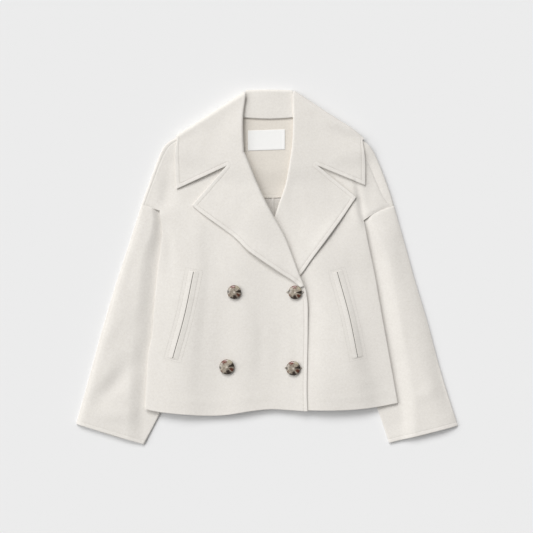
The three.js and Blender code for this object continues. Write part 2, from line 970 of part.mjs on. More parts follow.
// A sleeve lies flat as a tube: its inner edge is tucked under the body and pressed thin.
function sleeve(side) {
  const sign = side === "right" ? -1 : 1;
  const at = coons({
    left: route(SLEEVE_EDGE[side]),
    right: route(SLEEVE_TUCK[side]),
    lower: route(SLEEVE_HEAD[side]),
    upper: route([SLEEVE_EDGE[side].at(-1), SLEEVE_TUCK[side].at(-1)]),
  });
  const rows = evenly(CELLS.sleeve).map((v) => {
    const width = at(0, v).distanceTo(at(1, v));
    const headDone = ramp(v, SLEEVE_HEAD_RUN.from, SLEEVE_HEAD_RUN.to);
    const cuffDone = ramp(v, SLEEVE_CUFF_RUN.from, SLEEVE_CUFF_RUN.to);
    const slopeDone = ramp(v, SLEEVE_SLOPE.run.from, SLEEVE_SLOPE.run.to);
    const tuckTop = lerp(SLEEVE_MID.tucked[side], SLEEVE_MID.tuckedCuff, cuffDone);
    const outerTop = lerp(FRONT_MID - SHOULDER_DROP[side], SLEEVE_MID.outer[side], headDone);
    const dropDone = ramp(v, SLEEVE_CUFF_DROP.run.from, SLEEVE_CUFF_DROP.run.to);
    const crestMid = lerp(FRONT_MID, SLEEVE_MID.crest[side], headDone);
    const crest = crestMid - SLEEVE_CUFF_DROP.depth * dropDone;
    const slopeEnd = lerp(SLEEVE_SLOPE.head, SLEEVE_SLOPE.arm, slopeDone);
    const topHeight = (u, point) => {
      const outside = sign * (point.x - bodyAt[side](point.y));
      const risen = ramp(outside, SLEEVE_SLOPE.start, slopeEnd);
      const rounded = (1 - clamp((u * width) / SLEEVE_ROUND[side], 0, 1)) ** 2;
      return lerp(tuckTop, crest, risen) - (crest - outerTop) * rounded;
    };
    const outer = turnedEdge(CLOTH, (outerTop - BACK_MID) / 2, outerTop, ROLL_STEPS);
    const inner = turnedEdge(CLOTH, (tuckTop - BACK_MID) / 2, tuckTop, ROLL_STEPS);
    const ring = outer.map(({ off, height }) => raise(at(off / width, v), height));
    for (const u of SLEEVE_SHARES.top) ring.push(raise(at(u, v), topHeight(u, at(u, v))));
    for (const { off, height } of backwards(inner)) ring.push(raise(at(1 - off / width, v), height));
    for (const u of SLEEVE_SHARES.underneath) ring.push(raise(at(u, v), BACK_MID));
    return ring;
  });
  return wall(rows, CLOTH, true);
}

// Cloth turned back over a front: its height, highest along the line where it rolls over.
function turnedHeight(side, x, y, offRoll, puff) {
  const rise = (1 - clamp(offRoll / PUFF_REACH, 0, 1)) ** 2;
  return FRONT_HEIGHT[side](x, y) + TURNED_OVER_FRONT + puff * rise;
}

// One row of turned cloth, from under the roll over it to the outer edge. Shares past the roll
// come from the list.
function turnedRow(side, at, v, puff, list) {
  const width = at(0, v).distanceTo(at(1, v));
  const radius = (TURNED_OVER_FRONT + puff - ROLL_LIFT) / 2;
  const reach = Math.min((TURNED / 2 + radius) / width, MOST_ROLL_SHARE);
  const start = at(reach, v);
  const top = turnedHeight(side, start.x, start.y, 0, puff);
  const row = turnedEdge(TURNED, radius, top, ROLL_STEPS).map(({ off, height }) => {
    return raise(at((reach * off) / (TURNED / 2 + radius), v), height);
  });
  for (const share of list) {
    const point = at(lerp(reach, 1, share), v);
    row.push(raise(point, turnedHeight(side, point.x, point.y, share * width, puff)));
  }
  return row;
}

function lapel(side) {
  const upper = route(GORGE[side], [GORGE[side].at(-1), LAPEL_POINT[side]]);
  const at = coons({
    left: route(ROLL[side]),
    right: route(LAPEL_EDGE[side]),
    lower: route([ROLL[side][0], LAPEL_EDGE[side][0]]),
    upper,
  });
  const across = shares(upper.stops, CELLS.gorge).slice(1);
  const { from, to } = LAPEL_PUFF_RUN[side];
  const rows = evenly(CELLS.lapel).map((v) => {
    return turnedRow(side, at, v, ROLL_PUFF[side] * ramp(v, from, to), across);
  });
  return wall(rows, TURNED);
}

// The two wings of the collar and its leaf behind the neck, one sheet folded at both shoulders.
// Only the wings have the columns under the roll.
function collar() {
  const across = evenly(CELLS.wing).slice(1);
  const noRoll = Array(ROLL_STEPS).fill(null);
  const wingRows = {};
  const foldRows = {};
  const feet = {};
  for (const side of ["right", "left"]) {
    const flip = side === "right" ? -1 : 1;
    const fold = route(WING_FOLD[side]);
    const turns = [0, ...across].map((share) => {
      const inner = inwards(fold, share).multiplyScalar(flip);
      const point = fold.at(share).addScaledVector(inner, FOLD_INSET);
      const top = turnedHeight(side, point.x, point.y, PUFF_REACH, 0);
      const radius = (top - LEAF_MID) / 2;
      return { share, inner, turn: turnedEdge(TURNED, radius, top, FOLD_STEPS) };
    });
    const foldPoint = ({ share, inner, turn }, step) => {
      return raise(fold.at(share).addScaledVector(inner, turn[step].off), turn[step].height);
    };
    feet[side] = turns.map((column) => foldPoint(column, 0));
    foldRows[side] = evenly(FOLD_STEPS).slice(1, -1).map((_, k) => {
      return [...noRoll, ...turns.map((column) => foldPoint(column, k + 1))];
    });
    const upper = route(feet[side]);
    const [start, notch] = GORGE[side];
    const gorge = [
      { x: start.x, y: start.y + GORGE_GAP.roll },
      { x: notch.x, y: notch.y + GORGE_GAP.notch },
    ];
    const at = coons({
      left: route([gorge[0], ...WING_ROLL[side].slice(1, -1), upper.at(0)]),
      right: route([...WING_EDGE[side].slice(0, -1), upper.at(1)]),
      lower: route(gorge, [gorge.at(-1), COLLAR_POINT[side]]),
      upper,
    });
    wingRows[side] = evenly(CELLS.wing).map((v) => {
      const puff = ROLL_PUFF[side] * ramp(v, WING_PUFF_RUN.from, WING_PUFF_RUN.to);
      return turnedRow(side, at, v, puff, across);
    });
  }
  const leafAt = coons({
    left: route([feet.right[0], LEAF_TOP, feet.left[0]]),
    right: route([feet.right.at(-1), ...LEAF_FOOT, feet.left.at(-1)]),
    lower: route(feet.right),
    upper: route(feet.left),
  });
  const leafRows = evenly(CELLS.leaf).map((v) => {
    return [...noRoll, ...[0, ...across].map((u) => raise(leafAt(u, v), LEAF_MID))];
  });
  return wall(
    [
      ...wingRows.right,
      ...backwards(foldRows.right),
      ...leafRows,
      ...foldRows.left,
      ...backwards(wingRows.left),
    ],
    TURNED,
  );
}

// The stand rises from the neck seam to the roll, turns over it and ends behind the neck.
function collarStand() {
  const seam = route(STAND_SEAM);
  const roll = route(STAND_ROLL);
  const rows = evenly(CELLS.stand).map((v) => {
    const [foot, edge] = [seam.at(v), roll.at(v)];
    const height = foot.distanceTo(edge);
    const radius = lerp(STAND_ROLL_RADIUS.ends, STAND_ROLL_RADIUS.middle, Math.sin(Math.PI * v));
    const top = LEAF_MID + 2 * radius;
    const turn = turnedEdge(TURNED, radius, top, FOLD_STEPS);
    const row = turn.map(({ off, height: z }) => raise(edge.clone().lerp(foot, off / height), z));
    const start = turn.at(-1).off / height;
    for (const share of STAND_SHARES) {
      row.push(raise(edge.clone().lerp(foot, lerp(start, 1, share)), lerp(top, STAND_SEAM_MID, share)));
    }
    return row;
  });
  return wall(rows, TURNED);
}

function backNeckFacing() {
  const at = coons({
    left: route(FACING_OUTLINE.left),
    right: route(FACING_OUTLINE.right),
    lower: route(FACING_OUTLINE.foot),
    upper: route(FACING_OUTLINE.neck),
  });
  const lift = CLOTH / 2 + FACING_GAP + FACING / 2;
  const rows = evenly(CELLS.facing.along).map((v) =>
    evenly(CELLS.facing.across).map((u) => {
      const point = at(u, v);
      return raise(point, backHeight(point.x, point.y) + lift);
    }),
  );
  return wall(rows, FACING);
}

function backLining() {
  const { top, foot, columns } = LINING_AREA;
  const lift = CLOTH / 2 + SEAM + LINING / 2;
  const rows = evenly(CELLS.lining).map((v) =>
    columns.map((x) => {
      const y = lerp(foot, top, v);
      const pleat = x === LINING_PLEAT.x ? LINING_PLEAT.height : 0;
      return new THREE.Vector3(x, y, backHeight(x, y) + lift + pleat);
    }),
  );
  return wall(rows, LINING);
}

function neckLabel() {
  const { x, y, width, height, tilt } = NECK_LABEL;
  const lift = CLOTH / 2 + FACING_GAP + FACING + SEAM + LABEL / 2;
  const rows = evenly(CELLS.label.along).map((v) =>
    evenly(CELLS.label.across).map((u) => {
      const px = x + (u - 0.5) * width;
      const py = y + (v - 0.5) * height + (u - 0.5) * width * tilt;
      return new THREE.Vector3(px, py, backHeight(px, py) + lift);
    }),
  );
  return wall(rows, LABEL);
}

// One welt beside the slit of a pocket. It takes its points from the front that it lies on.
function welt(side, towards) {
  const { top, bottom, bow } = POCKET[side];
  const slit = route([top, { x: (top.x + bottom.x) / 2 + bow, y: (top.y + bottom.y) / 2 }, bottom]);
  const lift = CLOTH / 2 + LAID + WELT / 2;
  const rows = evenly(CELLS.welt).map((v) => {
    const point = slit.at(v);
    const across = inwards(slit, v).multiplyScalar(-towards);
    return [0, 0.5, 1].map((share) => {
      const on = point.clone().addScaledVector(across, POCKET_SLIT / 2 + share * WELT_WIDTH);
      return raise(on, FRONT_HEIGHT[side](on.x, on.y) + lift);
    });
  });
  return wall(rows, WELT);
}

// A button: thread shank, turned edge and low dome, all round its own Z axis.
function buttonGeometry(diameter) {
  const face = BUTTON_PROFILE.map(({ share, z }) => {
    return new THREE.Vector2((share * diameter) / 2, SHANK.height + z);
  });
  const points = [
    new THREE.Vector2(0, 0),
    new THREE.Vector2(SHANK.radius, 0),
    new THREE.Vector2(SHANK.radius, SHANK.height),
    ...face,
  ];
  return new THREE.LatheGeometry(points, BUTTON_SIDES).rotateX(Math.PI / 2);
}

function button({ x, y, diameter }) {
  const mesh = new THREE.Mesh(buttonGeometry(diameter));
  const height = rightFrontHeight(x, y);
  const riseX = rightFrontHeight(x + SLOPE_STEP, y) - rightFrontHeight(x - SLOPE_STEP, y);
  const riseY = rightFrontHeight(x, y + SLOPE_STEP) - rightFrontHeight(x, y - SLOPE_STEP);
  const up = new THREE.Vector3(-riseX, -riseY, 2 * SLOPE_STEP).normalize();
  mesh.quaternion.setFromUnitVectors(new THREE.Vector3(0, 0, 1), up);
  mesh.position.set(x, y, height).addScaledVector(up, CLOTH / 2 + BUTTON_GAP);
  return mesh;
}

function finish(color, roughness) {
  return new THREE.MeshStandardMaterial({ color, roughness, metalness: 0 });
}

const jacket = new THREE.Group();

function add(name, geometry, material) {
  const mesh = new THREE.Mesh(geometry, material);
  mesh.name = name;
  jacket.add(mesh);
}

add("back", back(), finish(ECRU, ROUGHNESS.wool));
add("back_neck_facing", backNeckFacing(), finish(ECRU_INSIDE, ROUGHNESS.wool));
add("back_lining", backLining(), finish(SATIN, ROUGHNESS.satin));
add("neck_label", neckLabel(), finish(LABEL_WHITE, ROUGHNESS.label));
add("collar", collar(), finish(ECRU, ROUGHNESS.wool));
add("collar_stand", collarStand(), finish(ECRU, ROUGHNESS.wool));
for (const side of ["right", "left"]) {
  add(`front_${side}`, front(side), finish(ECRU, ROUGHNESS.wool));
  add(`lapel_${side}`, lapel(side), finish(ECRU, ROUGHNESS.wool));
  add(`sleeve_${side}`, sleeve(side), finish(ECRU, ROUGHNESS.wool));
  const towardsFront = side === "right" ? 1 : -1;
  add(`pocket_${side}_front_welt`, welt(side, towardsFront), finish(ECRU, ROUGHNESS.wool));
  add(`pocket_${side}_back_welt`, welt(side, -towardsFront), finish(ECRU, ROUGHNESS.wool));
}
BUTTONS.forEach((spot, k) => {
  const mesh = button(spot);
  mesh.name = `button_${k + 1}`;
  mesh.material = finish(HORN, ROUGHNESS.horn);
  jacket.add(mesh);
});

export default jacket;
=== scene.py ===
"""A short double breasted wool jacket, laid flat on its back and seen from above.

Lengths are in millimetres until a mesh is made, and then in metres. +X is to the viewer's right, +Y towards the
neck and +Z up from the floor. Right and left are the wearer's, so the right half has negative X.
"""
import logging
import math
from dataclasses import dataclass, field
from enum import Enum
from typing import Sequence

import bpy
import numpy as np
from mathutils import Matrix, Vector


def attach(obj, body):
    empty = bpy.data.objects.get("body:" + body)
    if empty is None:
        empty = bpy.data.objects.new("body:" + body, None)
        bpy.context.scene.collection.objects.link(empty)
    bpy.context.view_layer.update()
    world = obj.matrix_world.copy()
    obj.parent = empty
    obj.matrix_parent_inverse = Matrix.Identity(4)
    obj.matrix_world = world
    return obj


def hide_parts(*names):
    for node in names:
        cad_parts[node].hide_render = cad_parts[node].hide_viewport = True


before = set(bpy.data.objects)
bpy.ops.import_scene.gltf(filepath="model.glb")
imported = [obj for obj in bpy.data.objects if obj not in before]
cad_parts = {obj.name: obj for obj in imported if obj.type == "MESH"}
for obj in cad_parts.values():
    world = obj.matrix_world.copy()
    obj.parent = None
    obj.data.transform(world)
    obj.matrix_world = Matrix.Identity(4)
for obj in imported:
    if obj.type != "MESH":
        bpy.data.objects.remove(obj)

LOG = logging.getLogger("jacket")
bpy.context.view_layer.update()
MM = 0.001

Line = Sequence[tuple[float, float]]
Colour = tuple[float, float, float]


class Side(Enum):
    """The wearer's right and left halves."""

    RIGHT = "right"
    LEFT = "left"

    @property
    def sign(self) -> int:
        """-1 for the right half, which has negative X, and 1 for the left half."""
        return -1 if self is Side.RIGHT else 1


class Hold(Enum):
    """How a cloth is held."""

    LAID = "laid"


# Thickness of each cloth.
CLOTH = 2.0
TURNED = 3.0
FACING = 1.6
LINING = 1.0
WELT = 1.2
LABEL = 0.6

# Clearances: at a seam, between laid cloths, and under turned cloth.
SEAM = 0.3
LAID = 0.6
TURNED_GAP = 1.0
FACING_GAP = 1.0
BUTTON_GAP = 0.9

# Heights of the middle of a layer, and how far it is lifted by what lies under it.
BACK_MID = CLOTH / 2
FRONT_MID = 7.9
LEAF_MID = TURNED / 2
BACK_OVER_LEAF = TURNED + LAID
FRONT_OVER_LEAF = 2.6
BACK_OVER_SLEEVE = 4.8
FRONT_OVER_SLEEVE = 0.9
FRONT_OVER_FRONT = CLOTH + LAID
TURNED_OVER_FRONT = CLOTH / 2 + TURNED_GAP + TURNED / 2
ROLL_LIFT = 0.3
OVER_HIDDEN_LAPEL = TURNED + TURNED_GAP
SIDE_DROP = 0.8
SIDE_ROUND = 14.0
SHOULDER_DROP = {Side.RIGHT: 1.2, Side.LEFT: 3.4}
SHOULDER_STRIP = 13.0
SHOULDER_ROUND = 40.0
SHOULDER_START = (84.0, 112.0)
SHOULDER_END = (292.0, 252.0)
ROLL_PUFF = {Side.RIGHT: 3.4, Side.LEFT: 1.4}
PUFF_REACH = 140.0

# Runs, each from where a lift starts to where it is full.
LEAF_RUN = (60.0, 15.0)
SLEEVE_RUN = (46.0, 6.0)
BACK_UNDERARM_RUN = (112.0, 68.0)
FRONT_UNDERARM_RUN = (132.0, 96.0)
OVERLAP_RUN = (190.0, 15.0)
OVERLAP_TOP = (220.0, 104.0)
SIDE_DROP_TOP = (100.0, 40.0)

# Steps from a finished edge to a column of points, close together along the line of topstitching.
EDGE_STEPS = (0.0, 0.9, 2.0, 3.4, 4.8, 5.8, 6.5, 7.0, 7.5, 8.2, 9.4, 11.6)
STITCH_LINE = 7.0
NO_EDGE = 60.0

# Side edge of the body, and the edge of the sleeve tucked under it. Columns: y, body, tucked.
SIDES = {
    Side.RIGHT: np.array([
        (-290, -243.4, -213.6), (-250, -241, -205), (-175, -236.8, -195), (-140, -229.8, -191), (-52, -222.6, -187),
        (20, -214.5, -188), (62, -208.5, -194), (95, -210, -201), (112, -214.4, -206.5),
    ]),
    Side.LEFT: np.array([
        (-290, 262, 223), (-264, 260, 215), (-180, 246, 196), (-110, 231, 186), (-40, 219, 176), (20, 208, 174),
        (54, 200.6, 177), (92, 193.2, 184),
    ]),
}

# Lower edge of the collar's leaf, and the hidden edges of the left front and its lapel. Columns: x, y.
LEAF_EDGE = np.array([(-182, 263), (-95, 226), (5, 212), (105, 226), (194, 256)])
UNDER_EDGE = np.array([(-88, -300), (-82, -62), (-55, -25), (-30, 10), (-2, 60), (15, 101), (37, 166)])
HIDDEN_LAPEL = np.array([(-82, -66), (-45, -63), (0, -56), (35, -42), (65, -17), (89, 16)])

# Outlines of the pieces, each from its start to its end. Columns: x, y.
HEM = {
    Side.RIGHT: [(-243, -284), (-217, -289), (-174, -293.6), (-118, -297), (-84, -295.8), (-30, -287.5), (8, -284),
                 (40, -285.5), (80.6, -288)],
    Side.LEFT: [(-88, -284), (0, -282.5), (80, -286), (156, -285.4), (216, -280), (261.2, -272)],
}
BACK_HEM = [(-242.4, -282), (-118, -291), (8, -282), (156, -283), (260.2, -270)]
BODY_EDGE = {
    Side.RIGHT: [(-243, -284), (-236.8, -175), (-229.8, -140), (-222.6, -52), (-211, 50), (-208.5, 72),
                 (-214.4, 113)],
    Side.LEFT: [(261.2, -272), (234, -121.6), (213.6, -7.4), (200.6, 54), (193.2, 93.6)],
}
ARMHOLE = {
    Side.RIGHT: [(-214.4, 112.8), (-245.5, 123.5)],
    Side.LEFT: [(193.2, 93.6), (219.8, 110.8), (247.5, 121.2)],
}
SHOULDER_SEAM = {
    Side.RIGHT: [(-245.5, 123.5), (-226, 176.6), (-214.5, 207), (-205, 227), (-194, 243), (-177, 254), (-130, 281),
                 (-88, 306)],
    Side.LEFT: [(247.5, 121.2), (233, 140), (217, 176), (199, 215), (180, 243), (138, 278), (92, 306)],
}
SHOULDER_EDGE = {
    Side.RIGHT: [(-251.3, 125.5), (-231, 182.8), (-220.2, 211.8), (-209.6, 236.2), (-198.8, 249), (-180, 260.5),
                 (-130, 290), (-84, 319)],
    Side.LEFT: [(254.4, 123.5), (248.6, 143.6), (223.6, 209.8), (207.4, 240), (188, 256.6), (138, 291), (88, 321)],
}
NECK_SEAM = [(-84, 319), (-62, 304.6), (-47, 300.4), (2, 297.6), (52, 300.4), (66, 304.6), (88, 321)]
FREE_EDGE = {
    Side.RIGHT: [(80.6, -288), (79.2, -246), (81, -116), (80, -66)],
    Side.LEFT: [(-88, -284), (-88, -90)],
}
NECK_EDGE = {
    Side.RIGHT: [(-55, 262), (-61, 292), (-88, 306)],
    Side.LEFT: [(60, 270), (66, 293), (92, 306)],
}
ROLL = {
    Side.RIGHT: [(74.5, -37), (62.4, -8.8), (37.4, 57.2), (14.2, 100), (-1.4, 129), (-19.8, 168.8), (-42.6, 224),
                 (-45.8, 230.2)],
    Side.LEFT: [(-79, -56), (-55, -26), (-30, 8), (-2, 56), (15.4, 101.6), (24.6, 129), (37, 165.8), (50, 240)],
}
LAPEL_EDGE = {
    Side.RIGHT: [(66.5, -40), (53.6, -28.6), (17.8, -5.2), (-41.2, 36.6), (-59.6, 55.6), (-134, 110.8),
                 (-148.8, 123)],
    Side.LEFT: [(-70, -65), (0, -56), (35, -42), (65.2, -16.8), (89.2, 16.2), (144.6, 91.2), (177.8, 139.8)],
}
GORGE = {Side.RIGHT: [(-45.8, 230.2), (-79.4, 202.6)], Side.LEFT: [(50, 240), (98.2, 204)]}
LAPEL_POINT = {Side.RIGHT: (-148.8, 123), Side.LEFT: (177.8, 139.8)}
COLLAR_POINT = {Side.RIGHT: (-180.4, 156.6), Side.LEFT: (196, 164.2)}
WING_ROLL = {
    Side.RIGHT: [(-45.8, 230.2), (-47.2, 257.6), (-47.2, 303.6), (-47, 351)],
    Side.LEFT: [(50, 240), (51.6, 270), (52.2, 303.6), (55.2, 353)],
}
WING_FOLD = {
    Side.RIGHT: [(-47, 351), (-182, 264)],
    Side.LEFT: [(55.2, 353), (128.8, 304.4), (173.2, 276), (194.5, 258)],
}
WING_EDGE = {
    Side.RIGHT: [(-180.4, 156.6), (-183.4, 225), (-182, 264)],
    Side.LEFT: [(196, 164.2), (195.6, 215), (194.5, 258)],
}
LEAF_TOP = (4, 348.4)
LEAF_FOOT = [(-95, 224), (5, 211), (105, 224)]
STAND_SEAM = [(-57, 305), (-47, 302.4), (2, 299.6), (52, 302.4), (62, 305)]
STAND_ROLL = [(-41, 354.8), (4, 355.6), (50, 354.2)]
SLEEVE_EDGE = {
    Side.RIGHT: [(-251.5, 125), (-271.6, 61.8), (-306.2, -44.4), (-332.8, -134.2), (-355.2, -215.8),
                 (-382.6, -313.8)],
    Side.LEFT: [(254.8, 122.8), (276.8, 45.6), (297.2, -27.8), (321.8, -109.4), (348.2, -207.2), (382.6, -317.4)],
}
SLEEVE_TUCK = {
    Side.RIGHT: [(-206.5, 109.3), (-201, 95), (-194, 60), (-188, 20), (-186.5, -40), (-189, -110), (-205, -250),
                 (-213.6, -290.8), (-224.4, -313.2), (-246.6, -355.2)],
    Side.LEFT: [(184.5, 87.6), (177, 56), (174, 20), (176, -40), (186, -110), (208, -240), (219.4, -278.6),
                (230.6, -309.6), (244.8, -352)],
}
SLEEVE_HEAD = {
    Side.RIGHT: [(-251.5, 125), (-214.6, 112.3), (-206.5, 109.3)],
    Side.LEFT: [(254.8, 122.8), (219.9, 109.6), (193.4, 92.6), (184.5, 87.6)],
}
BACK_SIDE = {
    Side.RIGHT: [(-242.4, -282), (-236, -175), (-229, -140), (-221.8, -52), (-213.5, 20), (-204, 44), (-188.6, 67),
                 (-193.8, 86), (-203.5, 111.2)],
    Side.LEFT: [(260.2, -270), (233, -121.6), (212.6, -7.4), (204, 22), (190, 42), (173.8, 60), (177, 76),
                (182, 90.6)],
}
BACK_ARMHOLE = {
    Side.RIGHT: [(-203.5, 111.2), (-214.4, 113), (-246.6, 124)],
    Side.LEFT: [(182, 90.6), (193.2, 94), (219.8, 111.1), (249.6, 122.2)],
}


def ramp(value: np.ndarray, start: float, end: float) -> np.ndarray:
    """Reads a run with level ends.

    Args:
        value: Where the run is read.
        start: Where it is 0.
        end: Where it is 1, on either side of the start.

    Returns:
        Shares from 0 to 1.
    """
    t = np.clip((value - start) / (end - start), 0, 1)
    return t * t * (3 - 2 * t)


def quarter_round(distance: np.ndarray, radius: float) -> np.ndarray:
    """Height of a quarter round, 0 at its edge and 1 where it is level."""
    t = 1 - np.clip(distance / radius, 0, 1)
    return np.sqrt(1 - t * t)


def blend(a: np.ndarray, b: np.ndarray, share: np.ndarray) -> np.ndarray:
    """The value that is the given share of the way from a to b."""
    return a + (b - a) * share


def half_round(thickness: float, radius: np.ndarray, top: np.ndarray, steps: int) -> tuple[np.ndarray, np.ndarray]:
    """Profile of a cloth turned under, from underneath to on top.

    Args:
        thickness: The cloth's thickness.
        radius: Radius of the turn for each column.
        top: Height where the turn is back on top, for each column.
        steps: Number of steps round the turn.

    Returns:
        Distances in from the outermost line, and heights, each with a last axis for the steps.
    """
    angle = np.pi * (np.arange(steps + 1) / steps - 0.5)
    radius, top = np.asarray(radius)[..., None], np.asarray(top)[..., None]
    return thickness / 2 + radius * (1 - np.cos(angle)), top - radius + radius * np.sin(angle)


def graded(width: np.ndarray, cells: int, start: bool = False, end: bool = True) -> np.ndarray:
    """Shares across a piece, close together beside its finished edges.

    Args:
        width: Width of the piece in each row.
        cells: Even cells between the finished edges.
        start: Whether the first edge is a finished one.
        end: Whether the last edge is a finished one.

    Returns:
        Shares from 0 to 1, a row for each width.
    """
    width = np.atleast_1d(np.asarray(width, float))[:, None]
    near = np.array(EDGE_STEPS)[None, :] * np.minimum(1 / width, 0.4 / EDGE_STEPS[-1])
    low = near[:, -1:] if start else np.zeros_like(width)
    high = 1 - near[:, -1:] if end else np.ones_like(width)
    parts = [blend(low, high, np.linspace(0, 1, cells + 1)[None, :])]
    if start:
        parts.insert(0, near[:, :-1])
    if end:
        parts.append(1 - near[:, -2::-1])
    return np.concatenate(parts, axis=1)


class Route:
    """One or more smooth stretches in a row, read by a share of the whole length."""

    STEPS = 24

    def __init__(self, *stretches: Line) -> None:
        """Joins the stretches.

        Args:
            stretches: Points of each stretch, the first of one being the last of the one before.
        """
        parts = [self._smooth(np.array([tuple(p)[:2] for p in stretch], float)) for stretch in stretches]
        lengths = [np.linalg.norm(np.diff(part, axis=0), axis=1).sum() for part in parts]
        self.points = np.concatenate([parts[0], *[part[1:] for part in parts[1:]]])
        steps = np.linalg.norm(np.diff(self.points, axis=0), axis=1)
        self.length = float(steps.sum())
        self.shares = np.concatenate([[0], np.cumsum(steps)]) / self.length
        self.stops = np.concatenate([[0], np.cumsum(lengths)]) / self.length

    @classmethod
    def _smooth(cls, points: np.ndarray) -> np.ndarray:
        """Puts a centripetal curve through the points."""
        p = np.vstack([2 * points[0] - points[1], points, 2 * points[-1] - points[-2]])
        gap = np.linalg.norm(np.diff(p, axis=0), axis=1) ** 0.5
        s = np.linspace(0, 1, cls.STEPS, endpoint=False)[:, None]
        parts = []
        for k in range(1, len(p) - 2):
            before, along, after = gap[k - 1:k + 2]
            a, b, c, d = p[k - 1:k + 3]
            leave = ((b - a) / before - (c - a) / (before + along) + (c - b) / along) * along
            reach = ((c - b) / along - (d - b) / (along + after) + (d - c) / after) * along
            parts.append(b * (2 * s**3 - 3 * s**2 + 1) + c * (3 * s**2 - 2 * s**3)
                         + leave * (s**3 - 2 * s**2 + s) + reach * (s**3 - s**2))
        return np.vstack([*parts, points[-1:]])

    def at(self, share: np.ndarray) -> np.ndarray:
        """Points at the given shares of the length, with x and y on the last axis."""
        share = np.clip(share, 0, 1)
        return np.stack([np.interp(share, self.shares, self.points[:, k]) for k in (0, 1)], axis=-1)

    def inwards(self, share: np.ndarray, step: float = 0.004) -> np.ndarray:
        """Unit vectors to the right of the route's direction."""
        along = self.at(np.minimum(share + step, 1)) - self.at(np.maximum(share - step, 0))
        along /= np.linalg.norm(along, axis=-1, keepdims=True)
        return np.stack([along[..., 1], -along[..., 0]], axis=-1)

    def moved(self, distance: float) -> np.ndarray:
        """The route's points, moved to the right of its direction."""
        return self.points + self.inwards(self.shares) * distance


@dataclass
class Patch:
    """A sheet inside four edges. u runs along the lower and upper edges, v along the left and right ones."""

    left: Route
    right: Route
    lower: Route
    upper: Route

    def at(self, u: np.ndarray, v: np.ndarray) -> np.ndarray:
        """Points of the sheet.

        Args:
            u: Shares along the lower and upper edges.
            v: Shares along the left and right edges.

        Returns:
            Points with x and y on the last axis.
        """
        u, v = np.broadcast_arrays(u, v)
        a, b = u[..., None], v[..., None]
        corners = [edge.at(np.array(end)) for edge in (self.lower, self.upper) for end in (0.0, 1.0)]
        sides = (1 - a) * self.left.at(v) + a * self.right.at(v)
        ends = (1 - b) * self.lower.at(u) + b * self.upper.at(u)
        low = (1 - a) * corners[0] + a * corners[1]
        high = (1 - a) * corners[2] + a * corners[3]
        return sides + ends - (1 - b) * low - b * high

    def widths(self, v: np.ndarray) -> np.ndarray:
        """Straight width at each v."""
        return np.linalg.norm(self.at(np.zeros_like(v), v) - self.at(np.ones_like(v), v), axis=-1)


def raised(points: np.ndarray, height: np.ndarray) -> np.ndarray:
    """Points with the height added as z."""
    return np.concatenate([points, np.broadcast_to(height, points.shape[:-1])[..., None]], axis=-1)


def edge_distance(points: np.ndarray, edges: Sequence[np.ndarray]) -> np.ndarray:
    """Distance from each point to the nearest finished edge.

    Args:
        points: Points with x and y first on the last axis.
        edges: Points along each edge.

    Returns:
        A distance for each point, at most NO_EDGE.
    """
    x, y = points[..., 0], points[..., 1]
    best = np.full(x.shape, NO_EDGE**2)
    for edge in edges:
        for a, b in zip(edge[:-1:4], np.vstack([edge[4::4], edge[-1:]])):
            d = b - a
            t = np.clip(((x - a[0]) * d[0] + (y - a[1]) * d[1]) / max(d @ d, 1e-9), 0, 1)
            best = np.fmin(best, (x - a[0] - t * d[0]) ** 2 + (y - a[1] - t * d[1]) ** 2)
    return np.sqrt(best)


@dataclass(frozen=True)
class Crease:
    """A soft ridge or trough along a line. Columns of its rows: x, y, height, half width."""

    rows: tuple[tuple[float, float, float, float], ...]

    def height(self, x: np.ndarray, y: np.ndarray) -> np.ndarray:
        """Height that the crease adds at each place, which fades out at both of its ends."""
        route = Route([row[:2] for row in self.rows])
        marks = np.linspace(0, 1, 6 * len(self.rows))
        line = route.at(marks)
        ends = np.sin(np.pi * marks) ** 0.5
        stops = np.linspace(0, 1, len(self.rows))
        high = np.interp(marks, stops, [row[2] for row in self.rows]) * ends
        wide = np.interp(marks, stops, [row[3] for row in self.rows])
        best = np.full(np.shape(x), np.inf)
        lift = np.zeros(np.shape(x))
        for k in range(len(line) - 1):
            d = line[k + 1] - line[k]
            t = np.clip(((x - line[k, 0]) * d[0] + (y - line[k, 1]) * d[1]) / max(d @ d, 1e-9), 0, 1)
            off = (x - line[k, 0] - t * d[0]) ** 2 + (y - line[k, 1] - t * d[1]) ** 2
            here = blend(high[k], high[k + 1], t) * np.exp(-off / blend(wide[k], wide[k + 1], t) ** 2)
            lift = np.where(off < best, here, lift)
            best = np.fmin(best, off)
        return lift


@dataclass(frozen=True)
class Fold:
    """A long fold of a front, with a crest line whose columns are y and x, and its own width on either side."""

    height: float
    widths: tuple[float, float]
    crest: tuple[tuple[float, float], ...]
    fade: tuple[float, float]
    start: tuple[float, float] | None = None

    def lift(self, x: np.ndarray, y: np.ndarray) -> np.ndarray:
        """Height that the fold adds at each place."""
        table = np.array(self.crest)
        off = x - np.interp(y, table[:, 0], table[:, 1])
        shape = np.exp(-((off / np.where(off < 0, *self.widths)) ** 2)) * ramp(y, *self.fade)
        return self.height * shape * (ramp(y, *self.start) if self.start else 1)


FOLDS = {
    Side.RIGHT: (
        Fold(6.0, (76, 40), ((-290, -168), (-150, -160), (0, -147), (110, -146)), (170, 40)),
        Fold(2.6, (34, 40), ((-290, -50), (-120, -42), (60, -66)), (90, -20)),
        Fold(-2.0, (16, 18), ((60, -202), (112, -206), (180, -190)), (190, 150), (104, 136)),
    ),
    Side.LEFT: (
        Fold(7.0, (50, 74), ((-290, 116), (-146, 114), (74, 112)), (130, 10)),
        Fold(8.4, (74, 54), ((-290, 154), (-160, 150), (-60, 140)), (-10, -150), (-340, -190)),
    ),
}

